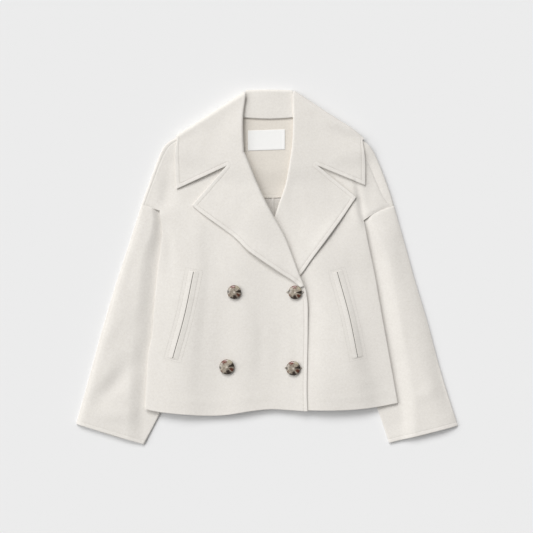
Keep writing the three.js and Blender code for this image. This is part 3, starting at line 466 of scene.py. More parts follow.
# Smaller creases of each front. The last of each side is the ridge where its turned-up hem ends.
FRONT_CREASES = {
    Side.RIGHT: (
        Crease(((-124, 100, -0.5, 11), (-119, -26, -1.0, 13), (-129, -126, -1.1, 14), (-141, -262, -0.8, 15))),
        Crease(((-206, 96, -0.9, 9), (-196, 40, -1.1, 11), (-192, -20, -0.5, 12))),
        Crease(((-20, -70, -0.6, 10), (-12, -150, -1.0, 13), (-18, -235, -0.7, 13))),
        Crease(((40, -90, 0.5, 11), (46, -160, 0.7, 13), (40, -262, 0.5, 12))),
        Crease(((-100, 60, 0.5, 8), (-84, 10, 0.6, 9), (-76, -36, 0.3, 8))),
        Crease(((-208, 108, -0.5, 2.6), (-218, 114, -1.0, 2.6), (-234, 119.5, -1.0, 2.6), (-256, 127, -0.6, 2.6))),
        Crease(((-206, 118, -0.6, 13), (-204, 146, -1.5, 13), (-198, 190, -1.4, 13), (-188, 222, -0.6, 12))),
        Crease(((-232, -258, 0.35, 5), (-118, -270, 0.4, 5), (0, -259, 0.35, 5), (72, -262, 0.3, 5))),
    ),
    Side.LEFT: (
        Crease(((158, 60, -0.5, 12), (176, -60, -0.9, 14), (196, -160, -1.3, 17), (214, -240, -0.9, 18))),
        Crease(((206, 70, -0.7, 9), (212, 20, -0.9, 10), (206, -40, -0.4, 12))),
        Crease(((96, -60, -0.4, 10), (92, -150, -0.7, 12), (88, -240, -0.5, 12))),
        Crease(((168, -236, 0.5, 13), (206, -226, 0.6, 12), (240, -212, 0.4, 11))),
        Crease(((189, 89, -0.5, 2.6), (200, 99, -1.0, 2.6), (221, 112, -1.0, 2.6), (258, 125, -0.6, 2.6))),
        Crease(((199, 72, -2.6, 4.6), (192, 100, -3.4, 5.0), (185, 140, -3.0, 5.0), (176, 184, -1.8, 4.4))),
        Crease(((186, 72, 1.2, 9), (180, 100, 1.8, 9), (172, 140, 1.4, 9), (165, 178, 0.6, 8))),
        Crease(((204, 108, -0.5, 14), (206, 150, -1.4, 14), (204, 190, -1.2, 13), (196, 226, -0.5, 12))),
        Crease(((150, -120, 1.4, 26), (168, -180, 3.0, 28), (184, -240, 4.2, 30), (196, -330, 4.2, 30))),
        Crease(((90, -261, 0.35, 5), (160, -261, 0.4, 5), (250, -250, 0.3, 5))),
    ),
}
TURNED_CREASES = {
    Side.RIGHT: (
        Crease(((-66, 62, 2.0, 16), (-24, 26, 4.6, 20), (22, -6, 5.0, 20), (60, -30, 3.0, 16))),
        Crease(((-80, 72, 1.0, 15), (-104, 92, 1.4, 15), (-134, 112, 0.6, 13))),
        Crease(((-20, 150, -0.7, 13), (-50, 110, -0.6, 14), (-60, 84, -0.4, 12))),
        Crease(((-96, 178, -0.5, 12), (-104, 150, -0.6, 12), (-112, 132, -0.3, 10))),
        Crease(((-170, 160, 0.9, 13), (-130, 178, 1.3, 12), (-92, 196, 0.6, 10))),
        Crease(((-74, 312, -0.6, 13), (-100, 262, -0.7, 16), (-124, 210, -0.5, 15))),
    ),
    Side.LEFT: (
        Crease(((90, 22, 1.2, 13), (122, 66, 2.4, 15), (158, 112, 1.0, 13))),
        Crease(((52, 180, -0.7, 12), (58, 120, -1.0, 13), (70, 60, -0.7, 13))),
        Crease(((120, 176, -0.5, 13), (128, 150, -0.6, 13), (132, 118, -0.4, 12))),
        Crease(((188, 168, 1.6, 13), (150, 182, 1.2, 12), (112, 198, 0.6, 10))),
        Crease(((84, 314, -0.6, 13), (112, 262, -0.8, 16), (134, 214, -0.5, 15))),
    ),
}
SLEEVE_CREASES = {
    Side.RIGHT: (
        Crease(((-210, 106, -0.5, 2.6), (-220, 112, -1.0, 2.6), (-235, 118, -1.0, 2.6), (-258, 125, -0.6, 2.6))),
        Crease(((-352, -282, -1.8, 17), (-312, -240, -3.8, 20), (-262, -178, -2.8, 22))),
        Crease(((-300, -190, 1.0, 20), (-318, -218, 1.6, 17), (-338, -250, 0.8, 14))),
        Crease(((-352, -300, 0.8, 14), (-304, -296, 1.5, 16), (-258, -296, 1.3, 14))),
        Crease(((-262, 70, -0.8, 11), (-270, 10, -1.1, 14), (-292, -60, -0.6, 15))),
        Crease(((-330, -150, 0.8, 13), (-304, -120, 0.9, 14), (-282, -70, 0.5, 14))),
        Crease(((-252, -80, -0.7, 10), (-262, -130, -0.9, 11), (-262, -176, -0.5, 10))),
    ),
    Side.LEFT: (
        Crease(((191, 87, -0.5, 2.6), (202, 97, -1.0, 2.6), (223, 110, -1.0, 2.6), (260, 123, -0.6, 2.6))),
        Crease(((262, 70, -0.7, 10), (272, 10, -1.0, 13), (288, -60, -0.6, 14))),
        Crease(((368, -296, -1.6, 16), (352, -236, -1.8, 18), (334, -170, -1.2, 15))),
        Crease(((344, -232, 0.8, 13), (318, -252, 1.1, 14), (288, -262, 0.7, 13))),
        Crease(((262, -60, 0.6, 10), (270, -120, 0.8, 12), (278, -176, 0.4, 12))),
    ),
}
UNDERSIDE_CREASES = (
    Crease(((-150, -262, 0.5, 20), (-130, -120, 0.7, 22), (-120, 40, 0.4, 20))),
    Crease(((140, -258, 0.5, 20), (120, -100, 0.6, 24), (110, 60, 0.4, 18))),
    Crease(((0, -240, 0.4, 18), (10, -60, 0.6, 20), (0, 100, 0.4, 18))),
)


SHOULDER_LINES = {side: Route(SHOULDER_EDGE[side]).points for side in Side}


class Stack:
    """Heights of the laid layers above the floor, worked out from what lies under each place."""

    @staticmethod
    def over_leaf(x: np.ndarray, y: np.ndarray) -> np.ndarray:
        """1 where the collar's leaf lies underneath."""
        edge = np.interp(x, LEAF_EDGE[:, 0], LEAF_EDGE[:, 1])
        return ramp(y, edge - LEAF_RUN[0], edge - LEAF_RUN[1])

    @staticmethod
    def inward(x: np.ndarray, y: np.ndarray, column: int) -> np.ndarray:
        """Distance in from a column of SIDES on the side where each place lies."""
        lines = {side: np.interp(y, table[:, 0], table[:, column]) for side, table in SIDES.items()}
        return np.where(x < 0, x - lines[Side.RIGHT], lines[Side.LEFT] - x)

    @classmethod
    def over_sleeve(cls, x: np.ndarray, y: np.ndarray, underarm: tuple[float, float]) -> np.ndarray:
        """1 where a tucked sleeve lies underneath."""
        return ramp(cls.inward(x, y, 2), *SLEEVE_RUN) * ramp(y, *underarm)

    @staticmethod
    def past_under_edge(x: np.ndarray, y: np.ndarray) -> np.ndarray:
        """1 to the viewer's right of the left front's hidden edge."""
        edge = np.interp(y, UNDER_EDGE[:, 1], UNDER_EDGE[:, 0])
        return ramp(x, edge - OVERLAP_RUN[0], edge - OVERLAP_RUN[1])

    @classmethod
    def over_hidden_lapel(cls, x: np.ndarray, y: np.ndarray) -> np.ndarray:
        """1 where the left lapel's hidden part lies underneath."""
        edge = np.interp(x, HIDDEN_LAPEL[:, 0], HIDDEN_LAPEL[:, 1])
        return cls.past_under_edge(x, y) * ramp(y, edge - OVERLAP_RUN[0], edge - OVERLAP_RUN[1])

    @staticmethod
    def past_shoulder(side: Side, x: np.ndarray, y: np.ndarray) -> np.ndarray:
        """1 at the shoulder edge of one side, and 0 where the cloth lies level."""
        off = edge_distance(np.stack([x, y], axis=-1), [SHOULDER_LINES[side]]) - SHOULDER_STRIP
        return (1 - np.clip(off / SHOULDER_ROUND, 0, 1)) ** 2 * ramp(y, *SHOULDER_START) * ramp(y, *SHOULDER_END)

    @staticmethod
    def folded(side: Side, x: np.ndarray, y: np.ndarray) -> np.ndarray:
        """Height of one front's folds."""
        return sum(fold.lift(x, y) for fold in FOLDS[side])

    @classmethod
    def back(cls, x: np.ndarray, y: np.ndarray) -> np.ndarray:
        """Height of the back's middle."""
        over_sleeve = BACK_OVER_SLEEVE * cls.over_sleeve(x, y, BACK_UNDERARM_RUN)
        return BACK_MID + np.maximum(BACK_OVER_LEAF * cls.over_leaf(x, y), over_sleeve)

    @classmethod
    def front(cls, side: Side, x: np.ndarray, y: np.ndarray) -> np.ndarray:
        """Height of a front's middle, with its folds and creases.

        Args:
            side: Which front.
            x: Places across.
            y: Places along.

        Returns:
            A height for each place.
        """
        rounded = 1 - quarter_round(cls.inward(x, y, 1), SIDE_ROUND)
        height = (FRONT_MID + FRONT_OVER_LEAF * cls.over_leaf(x, y)
                  + FRONT_OVER_SLEEVE * cls.over_sleeve(x, y, FRONT_UNDERARM_RUN)
                  - SIDE_DROP * rounded * ramp(y, *SIDE_DROP_TOP)
                  - SHOULDER_DROP[side] * cls.past_shoulder(side, x, y))
        height = height + cls.folded(side, x, y) + sum(crease.height(x, y) for crease in FRONT_CREASES[side])
        if side is Side.RIGHT:
            over = cls.past_under_edge(x, y) * ramp(y, *OVERLAP_TOP)
            height = height + over * (FRONT_OVER_FRONT + cls.folded(Side.LEFT, x, y))
            height = height + OVER_HIDDEN_LAPEL * cls.over_hidden_lapel(x, y)
        return height

    @classmethod
    def turned(cls, side: Side, x: np.ndarray, y: np.ndarray, off_roll: np.ndarray, puff: np.ndarray) -> np.ndarray:
        """Height of the middle of cloth turned back over a front.

        Args:
            side: Which front it lies on.
            x: Places across.
            y: Places along.
            off_roll: Distance from the line where it rolls over.
            puff: How far it stands up at that line.

        Returns:
            A height for each place.
        """
        rise = (1 - np.clip(off_roll / PUFF_REACH, 0, 1)) ** 2
        lifted = sum(crease.height(x, y) for crease in TURNED_CREASES[side])
        return cls.front(side, x, y) + TURNED_OVER_FRONT + puff * rise + np.maximum(lifted, -TURNED_GAP / 2)


@dataclass
class Shell:
    """A net of points on the middle of a cloth, made into a closed wall with round edges.

    A point of NaN is where there is no cloth. With around set, the last column joins the first.
    """

    net: np.ndarray
    thickness: float
    around: bool = False
    finished: Sequence[np.ndarray] = ()
    grain: float = 0.0
    bulge: float = 0.55
    pinch: float = 0.36
    swell: float = 0.16
    swell_at: tuple[float, float] = (3.2, 2.4)
    rim_steps: int = 4

    def _walls(self) -> tuple[np.ndarray, np.ndarray]:
        """Thickness at each point, swollen along a finished edge and pinched at its stitches, and the distances."""
        distance = edge_distance(self.net, self.finished)
        middle, width = self.swell_at
        swell = self.swell * np.exp(-(((distance - middle) / width) ** 2))
        return self.thickness + swell - self.pinch * np.exp(-((distance - STITCH_LINE) ** 2)), distance

    def build(self, name: str) -> bpy.types.Object:
        """Makes the mesh.

        Args:
            name: The object's name.

        Returns:
            The object, with a grain direction and the distance to a finished edge on each point.
        """
        rows, width = self.net.shape[:2]
        index = np.arange(rows * width).reshape(rows, width)
        right = np.roll(index, -1, axis=1) if self.around else index[:, 1:]
        here = index if self.around else index[:, :-1]
        cells = np.stack([here[:-1], right[:-1], right[1:], here[1:]], axis=-1).reshape(-1, 4)
        points = self.net.reshape(-1, 3)
        cells = cells[np.isfinite(points[cells]).all(axis=(1, 2))]
        walls, distance = (values.reshape(-1) for values in self._walls())

        normals = np.zeros_like(points)
        corner = points[cells]
        cell_normals = np.cross(corner[:, 2] - corner[:, 0], corner[:, 3] - corner[:, 1])
        for k in range(4):
            np.add.at(normals, cells[:, k], cell_normals)
        normals /= np.maximum(np.linalg.norm(normals, axis=1, keepdims=True), 1e-9)

        starts, ends = cells.reshape(-1), np.roll(cells, -1, axis=1).reshape(-1)
        open_edge = ~np.isin(starts * len(points) + ends, ends * len(points) + starts)
        starts, ends = starts[open_edge], ends[open_edge]
        outward = np.zeros_like(points)
        out = np.cross(points[ends] - points[starts], normals[starts] + normals[ends])
        out /= np.maximum(np.linalg.norm(out, axis=1, keepdims=True), 1e-9)
        np.add.at(outward, starts, out)
        np.add.at(outward, ends, out)
        outward /= np.maximum(np.linalg.norm(outward, axis=1, keepdims=True), 1e-9)

        half = walls[:, None] / 2
        layers = []
        for angle in np.pi / 2 - np.pi * np.arange(self.rim_steps + 1) / self.rim_steps:
            layers.append(points + half * (math.sin(angle) * normals + math.cos(angle) * self.bulge * outward))
        count = len(points)
        faces = [cells, cells[:, ::-1] + count * self.rim_steps]
        for step in range(self.rim_steps):
            low, high = count * step, count * (step + 1)
            faces.append(np.stack([ends + low, starts + low, starts + high, ends + high], axis=1))
        faces = np.concatenate(faces)
        used, faces = np.unique(faces, return_inverse=True)
        faces = faces.reshape(-1, 4)
        verts = np.concatenate(layers)[used]
        a, b, c, d = (verts[faces[:, k]] for k in range(4))
        if (np.einsum("ij,ij->i", a, np.cross(b, c)) + np.einsum("ij,ij->i", a, np.cross(c, d))).sum() < 0:
            faces = faces[:, ::-1]
        turn = math.radians(self.grain)
        along = np.array([[math.cos(turn), -math.sin(turn)], [math.sin(turn), math.cos(turn)]])
        flat = points[used % count][:, :2] @ along
        attributes = {"grain": np.column_stack([flat * MM, np.zeros(len(flat))]), "edge": distance[used % count]}
        return make_object(name, verts, faces.tolist(), attributes)


def make_object(name: str, verts: np.ndarray, faces: list, attributes: dict[str, np.ndarray] | None = None,
                smooth: bool = True) -> bpy.types.Object:
    """Makes an object.

    Args:
        name: The object's name.
        verts: Points in millimetres.
        faces: Corners of each face.
        attributes: Values or vectors for each point.
        smooth: Whether it is shaded smooth.

    Returns:
        The object, linked to the scene.
    """
    mesh = bpy.data.meshes.new(name)
    mesh.from_pydata((np.asarray(verts) * MM).tolist(), [], faces)
    mesh.polygons.foreach_set("use_smooth", np.full(len(mesh.polygons), smooth))
    for key, values in (attributes or {}).items():
        vector = values.ndim == 2
        layer = mesh.attributes.new(key, "FLOAT_VECTOR" if vector else "FLOAT", "POINT")
        layer.data.foreach_set("vector" if vector else "value", np.ascontiguousarray(values, np.float32).reshape(-1))
    mesh.update()
    made = bpy.data.objects.new(name, mesh)
    bpy.context.scene.collection.objects.link(made)
    return made


def tube_faces(first: int, sides: int, rings: int) -> list[tuple[int, ...]]:
    """Faces between rings of points that follow one another from the first point."""
    cells = [(k * sides + turn, k * sides + (turn + 1) % sides) for k in range(rings - 1) for turn in range(sides)]
    return [(first + a, first + b, first + b + sides, first + a + sides) for a, b in cells]


class Value:
    """A socket of a material, with arithmetic that adds Math nodes."""

    def __init__(self, shader: "Shader", socket: bpy.types.NodeSocket) -> None:
        """Wraps an output socket of the shader."""
        self.shader = shader
        self.socket = socket

    def __add__(self, other: "Value | float") -> "Value":
        """Adds."""
        return self.shader.math("ADD", self, other)

    def __radd__(self, other: "Value | float") -> "Value":
        """Adds, with the number first."""
        return self.shader.math("ADD", other, self)

    def __sub__(self, other: "Value | float") -> "Value":
        """Subtracts."""
        return self.shader.math("SUBTRACT", self, other)

    def __rsub__(self, other: "Value | float") -> "Value":
        """Subtracts from the number."""
        return self.shader.math("SUBTRACT", other, self)

    def __mul__(self, other: "Value | float") -> "Value":
        """Multiplies."""
        return self.shader.math("MULTIPLY", self, other)

    def __rmul__(self, other: "Value | float") -> "Value":
        """Multiplies, with the number first."""
        return self.shader.math("MULTIPLY", other, self)

    def __truediv__(self, other: "Value | float") -> "Value":
        """Divides."""
        return self.shader.math("DIVIDE", self, other)

    def sine(self) -> "Value":
        """The sine."""
        return self.shader.math("SINE", self)

    def bell(self, middle: float, width: float) -> "Value":
        """A bell curve, 1 at the middle."""
        off = (self - middle) / width
        return self.shader.math("EXPONENT", -1.0 * (off * off))

    def between(self, start: float, end: float) -> "Value":
        """A smooth step from 0 at the start to 1 at the end."""
        made = self.shader.node("ShaderNodeMapRange", {"interpolation_type": "SMOOTHSTEP"},
                                {"Value": self, "From Min": start, "From Max": end})
        return Value(self.shader, made.outputs[0])


class Shader:
    """The nodes of one material."""

    def __init__(self, name: str) -> None:
        """Starts a material with nothing but its output."""
        self.material = bpy.data.materials.new(name)
        self.material.use_nodes = True
        self.tree = self.material.node_tree
        self.tree.nodes.clear()

    def node(self, kind: str, settings: dict[str, object] | None = None,
             inputs: dict[str | int, object] | None = None) -> bpy.types.Node:
        """Adds a node.

        Args:
            kind: The node's type.
            settings: Its own settings, set first.
            inputs: Values or links by a socket's name or number.

        Returns:
            The node.
        """
        made = self.tree.nodes.new(kind)
        for key, value in (settings or {}).items():
            setattr(made, key, value)
        for key, value in (inputs or {}).items():
            socket = made.inputs[key]
            if isinstance(value, Value):
                self.tree.links.new(value.socket, socket)
            elif isinstance(value, bpy.types.NodeSocket):
                self.tree.links.new(value, socket)
            else:
                socket.default_value = value
        return made

    def math(self, operation: str, *terms: Value | float) -> Value:
        """The result of a Math node."""
        return Value(self, self.node("ShaderNodeMath", {"operation": operation}, dict(enumerate(terms))).outputs[0])

    def parts(self, vector: bpy.types.NodeSocket) -> list[Value]:
        """The x, y and z of a vector."""
        return [Value(self, part) for part in self.node("ShaderNodeSeparateXYZ", None, {0: vector}).outputs]

    def edge(self) -> Value:
        """Distance to the nearest finished edge, in millimetres."""
        return Value(self, self.attribute("edge").outputs["Fac"])

    def place(self) -> bpy.types.NodeSocket:
        """Coordinates in the object, in metres."""
        return self.node("ShaderNodeTexCoord").outputs["Object"]

    def attribute(self, name: str) -> bpy.types.Node:
        """The node that reads a value kept on the mesh."""
        return self.node("ShaderNodeAttribute", {"attribute_name": name})

    def noise(self, vector: bpy.types.NodeSocket, size: float, detail: float = 2.0, distortion: float = 0.0) -> Value:
        """Soft noise from 0 to 1 whose patches are about the given size, in millimetres."""
        made = self.node("ShaderNodeTexNoise", None, {"Vector": vector, "Scale": 1 / (size * MM), "Detail": detail,
                                                       "Roughness": 0.55, "Distortion": distortion})
        return Value(self, made.outputs[0])

    def mix(self, share: Value, a: object, b: object) -> bpy.types.NodeSocket:
        """A colour between two colours or colour sockets."""
        first, second = ((*value, 1.0) if isinstance(value, tuple) else value for value in (a, b))
        return self.node("ShaderNodeMix", {"data_type": "RGBA"}, {0: share, 6: first, 7: second}).outputs[2]

    def finish(self, colour: object, roughness: object, bump: Value, depth: float,
               constants: dict[str, float]) -> bpy.types.Material:
        """Joins everything in one surface.

        Args:
            colour: The base colour.
            roughness: The roughness.
            bump: Height of the fine relief, from 0 to 1.
            depth: Height of that relief, in millimetres.
            constants: Numbers for other sockets of the surface.

        Returns:
            The material.
        """
        relief = self.node("ShaderNodeBump", None, {"Strength": 1.0, "Distance": depth * MM, "Height": bump})
        surface = self.node("ShaderNodeBsdfPrincipled", None,
                            {"Base Color": colour, "Roughness": roughness, "Normal": relief.outputs[0], **constants})
        self.node("ShaderNodeOutputMaterial", None, {"Surface": surface.outputs[0]})
        return self.material


@dataclass(frozen=True)
class Wool:
    """Brushed melange wool: a felted twill of light and dark fibres under a short nap."""

    name: str = "brushed_wool"
    light: Colour = (0.866, 0.837, 0.792)
    dark: Colour = (0.702, 0.666, 0.616)
    twill: float = 1.5
    relief: float = 0.30

    def material(self) -> bpy.types.Material:
        """Builds the material."""
        s = Shader(self.name)
        place = s.place()
        across, along, _ = s.parts(s.attribute("grain").outputs["Vector"])
        cloudy = s.noise(place, 26, 2)
        mottle = s.noise(place, 4.2, 3, 0.4)
        flecks = s.noise(place, 1.3, 2, 1.2)
        fibres = s.noise(place, 0.42, 2, 2.2)
        hairs = s.noise(place, 0.16, 1, 3.0)
        wander = (mottle - 0.5) * 2.4
        diagonal = ((across + along * 1.6) * (2 * math.pi / (self.twill * MM)) + wander).sine() * 0.5 + 0.5
        edge = s.edge()
        groove = edge.bell(STITCH_LINE, 0.8)
        # The share is darkened along the stitch groove, which is painted shade in that recess. It is lightened in a
        # band along each finished edge, which is a painted highlight on the swollen roll. The bump below gives the
        # groove its real relief.
        share = (0.52 + (mottle - 0.5) * 0.75 + (flecks - 0.5) * 0.7 + (fibres - 0.5) * 0.5 + (cloudy - 0.5) * 0.22
                 + (diagonal - 0.5) * 0.10 - groove * 0.16 + edge.bell(2.5, 3.0) * 0.10)
        colour = s.mix(share, self.dark, self.light)
        bump = fibres * 0.34 + flecks * 0.30 + hairs * 0.18 + diagonal * 0.18 - groove * 0.36
        return s.finish(colour, 0.86 + (flecks - 0.5) * 0.2, bump, self.relief,
                        {"Sheen Weight": 0.22, "Sheen Roughness": 0.45, "Specular IOR Level": 0.18})


@dataclass(frozen=True)
class Satin:
    """Satin lining with fine floats across it."""

    name: str = "satin_lining"
    light: Colour = (0.70, 0.665, 0.62)
    dark: Colour = (0.60, 0.565, 0.52)
    pitch: float = 0.5
    relief: float = 0.05

    def material(self) -> bpy.types.Material:
        """Builds the material."""
        s = Shader(self.name)
        place = s.place()
        _, along, _ = s.parts(place)
        floats = (along * (2 * math.pi / (self.pitch * MM)) + s.noise(place, 3, 2) * 3.0).sine() * 0.5
        cloudy = s.noise(place, 12, 2)
        colour = s.mix(0.5 + (cloudy - 0.5) * 0.5 + floats * 0.2, self.dark, self.light)
        return s.finish(colour, 0.38 + (cloudy - 0.5) * 0.12, floats + 0.5, self.relief,
                        {"Sheen Weight": 0.1, "Specular IOR Level": 0.5})


@dataclass(frozen=True)
class LabelWeave:
    """White damask weave of the blank label."""

    name: str = "label_weave"
    light: Colour = (0.92, 0.915, 0.90)
    dark: Colour = (0.80, 0.79, 0.765)
    pitch: float = 0.45
    relief: float = 0.05

    def material(self) -> bpy.types.Material:
        """Builds the material."""
        s = Shader(self.name)
        place = s.place()
        x, y, _ = s.parts(place)
        turns = 2 * math.pi / (self.pitch * MM)
        weave = (x * turns).sine() * (y * turns).sine() * 0.5 + 0.5
        cloudy = s.noise(place, 6, 2)
        share = 0.80 + (cloudy - 0.5) * 0.25 + (weave - 0.5) * 0.2 - s.edge().bell(1.4, 0.5) * 0.25
        return s.finish(s.mix(share, self.dark, self.light), 0.55 + weave * 0.15, weave, self.relief,
                        {"Sheen Weight": 0.1, "Specular IOR Level": 0.4})


@dataclass(frozen=True)
class Thread:
    """Twisted sewing thread."""

    name: str = "sewing_thread"
    light: Colour = (0.72, 0.69, 0.645)
    dark: Colour = (0.52, 0.49, 0.445)
    twist: float = 0.35
    relief: float = 0.08

    def material(self) -> bpy.types.Material:
        """Builds the material."""
        s = Shader(self.name)
        place = s.place()
        x, y, z = s.parts(place)
        ply = ((x + y * 0.7 + z) * (2 * math.pi / (self.twist * MM))).sine() * 0.5 + 0.5
        share = 0.25 + ply * 0.5 + (s.noise(place, 1.5) - 0.5) * 0.5
        return s.finish(s.mix(share, self.dark, self.light), 0.5 + ply * 0.15, ply, self.relief,
                        {"Sheen Weight": 0.15, "Specular IOR Level": 0.35})


@dataclass(frozen=True)
class Wedge:
    """A dark wedge of a button's face: the middle of its angle, its half angle, where it starts, and its colour."""

    angle: float
    half: float
    start: float
    colour: Colour


@dataclass(frozen=True)
class Horn:
    """Polished mottled horn look: a cream middle with a painted highlight on the top of the dome, and streaks that
    spread to dark and red brown wedges at the rim.
    """

    name: str
    radius: float
    turn: float
    seed: float
    pale: Colour = (0.13, 0.10, 0.075)
    cream: Colour = (0.50, 0.44, 0.355)
    painted_highlight: Colour = (0.74, 0.68, 0.60)
    rim: Colour = (0.09, 0.06, 0.04)
    relief: float = 0.06
    wedges: tuple[Wedge, ...] = (
        Wedge(8, 17, 0.22, (0.022, 0.014, 0.007)),
        Wedge(-34, 17, 0.42, (0.10, 0.028, 0.012)),
        Wedge(-84, 24, 0.40, (0.030, 0.018, 0.012)),
        Wedge(-116, 12, 0.78, (0.028, 0.018, 0.012)),
        Wedge(104, 25, 0.60, (0.14, 0.030, 0.012)),
        Wedge(176, 12, 0.76, (0.014, 0.010, 0.006)),
        Wedge(-148, 9, 0.80, (0.20, 0.11, 0.075)),
        Wedge(52, 22, 0.72, (0.46, 0.41, 0.30)),
    )

    def material(self) -> bpy.types.Material:
        """Builds the material."""
        s = Shader(self.name)
        place = s.place()
        x, y, _ = s.parts(place)
        bearing = s.math("ARCTAN2", y, x) * (180 / math.pi) - self.turn
        away = s.math("SQRT", x * x + y * y) / (self.radius * MM)
        shifted = s.node("ShaderNodeVectorMath", {"operation": "ADD"}, {0: place, 1: (self.seed, 0.0, 0.0)})
        flow = s.noise(shifted.outputs[0], 5.0, 3, 0.6)
        streak_place = s.node("ShaderNodeCombineXYZ", None, {0: bearing * 0.0016, 1: away * 0.0022, 2: self.seed})
        streak = s.noise(streak_place.outputs[0], 3.2, 4, 0.8)
        colour = s.mix(0.55 + (streak - 0.5) * 6.0 + (flow - 0.5) * 2.4, self.pale, self.cream)
        for wedge in self.wedges:
            bent = bearing + (flow - 0.5) * 26 - wedge.angle
            wrapped = s.math("WRAP", bent, 180.0, -180.0)
            spread = s.math("ABSOLUTE", wrapped) / wedge.half
            far = away + (streak - 0.5) * 0.35
            mask = (1 - spread.between(0.55, 1.25)) * far.between(wedge.start - 0.12, wedge.start + 0.14)
            colour = s.mix(mask, colour, wedge.colour)
        # A pale spot on the top of the dome: painted highlight.
        colour = s.mix(away.bell(0.0, 0.12) * 0.9, colour, self.painted_highlight)
        colour = s.mix(away.between(0.90, 0.99) * 0.35, colour, self.rim)
        return s.finish(colour, 0.16 + flow * 0.10, streak * 0.5 + flow * 0.5, self.relief,
                        {"Coat Roughness": 0.05, "Coat Weight": 0.5, "Specular IOR Level": 0.5})


@dataclass(frozen=True)
class Floor:
    """Plain pale floor."""

    name: str = "pale_floor"
    colour: Colour = (0.838, 0.838, 0.838)

    def material(self) -> bpy.types.Material:
        """Builds the material."""
        s = Shader(self.name)
        grain = s.noise(s.place(), 2.0, 2)
        return s.finish((*self.colour, 1.0), 0.9, grain, 0.01, {"Specular IOR Level": 0.0})


class Wardrobe:
    """Makes each finish once."""

    def __init__(self) -> None:
        """Starts empty."""
        self._made: dict[str, bpy.types.Material] = {}

    def dress(self, piece: bpy.types.Object, finish: object) -> None:
        """Gives a piece a finish."""
        if finish.name not in self._made:
            self._made[finish.name] = finish.material()
        piece.data.materials.clear()
        piece.data.materials.append(self._made[finish.name])


WARDROBE = Wardrobe()
WOOL = Wool()
# A darker, warmer copy of the same wool for the facing inside the neck: painted shade for the depth of the neck
# opening.
FACING_WOOL_SHADED = Wool("facing_wool_painted_shade", (0.835, 0.788, 0.720), (0.668, 0.621, 0.553))
# Near black wool for the strip inside each pocket slit: painted shade of the slit's depth.
SLIT_SHADE_WOOL = Wool("pocket_slit_painted_shade", (0.20, 0.185, 0.165), (0.12, 0.11, 0.10))


@dataclass
class Cut:
    """Flat size of a piece in metres: width, length and area."""

    width: float
    length: float
    area: float


@dataclass
class Piece:
    """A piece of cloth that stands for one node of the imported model."""

    node: str
    cut: Cut
    rests_on: tuple[str, ...] = ()
    slot: str = "wool"
    finish: object = WOOL

    def hand_over(self, piece: bpy.types.Object, trims: Sequence[bpy.types.Object] = ()) -> None:
        """Args:
            piece: The cloth.
            trims: What is sewn on it.
        """
        WARDROBE.dress(piece, self.finish)
        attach(piece, "root")
        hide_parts(self.node)
        for trim in trims:
            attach(trim, "root")
        LOG.info("%s: %d faces, %d trims", piece.name, len(piece.data.polygons), len(trims))


@dataclass
class Stitching:
    """A row of separate stitches that lie along a path on a piece, each one a short bent bar of thread."""

    length: float = 2.6
    pitch: float = 3.3
    width: float = 0.62
    height: float = 0.42
    sunk: float = 0.22
    first: float = 0.4
    taper: float = 0.45
    drop_from: float = 0.2
    shares: tuple[float, ...] = (0.0, 0.25, 0.5, 0.75, 1.0)

    def sew(self, name: str, paths: Sequence[np.ndarray], ground: bpy.types.Object) -> bpy.types.Object:
        """Sews along the paths.

        Args:
            name: The row's name.
            paths: Points along each row, in millimetres.
            ground: The cloth that the stitches lie on.

        Returns:
            The stitches as one object.
        """
        verts, faces = [], []
        for path in paths:
            steps = np.linalg.norm(np.diff(path, axis=0), axis=1)
            run = np.concatenate([[0], np.cumsum(steps)])
            for k in range(int(run[-1] // self.pitch)):
                marks = k * self.pitch + self.first + self.length * np.array(self.shares)
                xy = np.stack([np.interp(marks, run, path[:, axis]) for axis in (0, 1)], axis=1)
                self._stitch(verts, faces, xy, ground)
        made = make_object(name, verts, faces)
        WARDROBE.dress(made, Thread())
        return made

    def _stitch(self, verts: list, faces: list, xy: np.ndarray, ground: bpy.types.Object) -> None:
        """Adds one stitch over its marks."""
        found, place, normal, _ = ground.ray_cast(Vector((*xy[2] * MM, self.drop_from)), Vector((0, 0, -1)))
        if not found:
            return
        ahead = Vector((*(xy[4] - xy[0]), 0)).normalized()
        across = normal.cross(ahead).normalized()
        rings = []
        for mark, share in zip(xy, self.shares):
            hump = math.sin(math.pi * share)
            off = Vector((*(mark - xy[2]), 0))
            off -= normal * off.dot(normal)
            middle = place / MM + off + normal * (hump * self.height - self.sunk)
            wide = self.width / 2 * (1 - self.taper + self.taper * hump)
            high = self.height / 2
            ring = []
            for turn in range(6):
                angle = math.pi * turn / 3
                ring.append(tuple(middle + across * (math.cos(angle) * wide) + normal * (math.sin(angle) * high)))
            rings.append(ring)
        base = len(verts)
        verts.extend(point for ring in rings for point in ring)
        faces.extend(tube_faces(base, 6, len(rings)))
        last = base + 6 * (len(rings) - 1)
        for start, order in ((base, (0, 5, 4, 3)), (base, (0, 3, 2, 1)), (last, (0, 1, 2, 3)), (last, (0, 3, 4, 5))):
            faces.append(tuple(start + k for k in order))


STITCHING = Stitching()


def inset_lines(stretches: Sequence[Line], distance: float) -> list[np.ndarray]:
    """Lines inside a row of smooth stretches, cut where neighbours cross.

    Args:
        stretches: Points of each stretch, with the cloth on the right of its direction.
        distance: Distance inside.

    Returns:
        A line for each stretch.
    """
    lines = [Route(stretch).moved(distance) for stretch in stretches]
    for k in range(len(lines) - 1):
        gaps = np.linalg.norm(lines[k][:, None] - lines[k + 1][None, :], axis=2)
        a, b = np.unravel_index(gaps.argmin(), gaps.shape)
        lines[k], lines[k + 1] = lines[k][:a + 1], lines[k + 1][b:]
    return [line for line in lines if len(line) > 1]


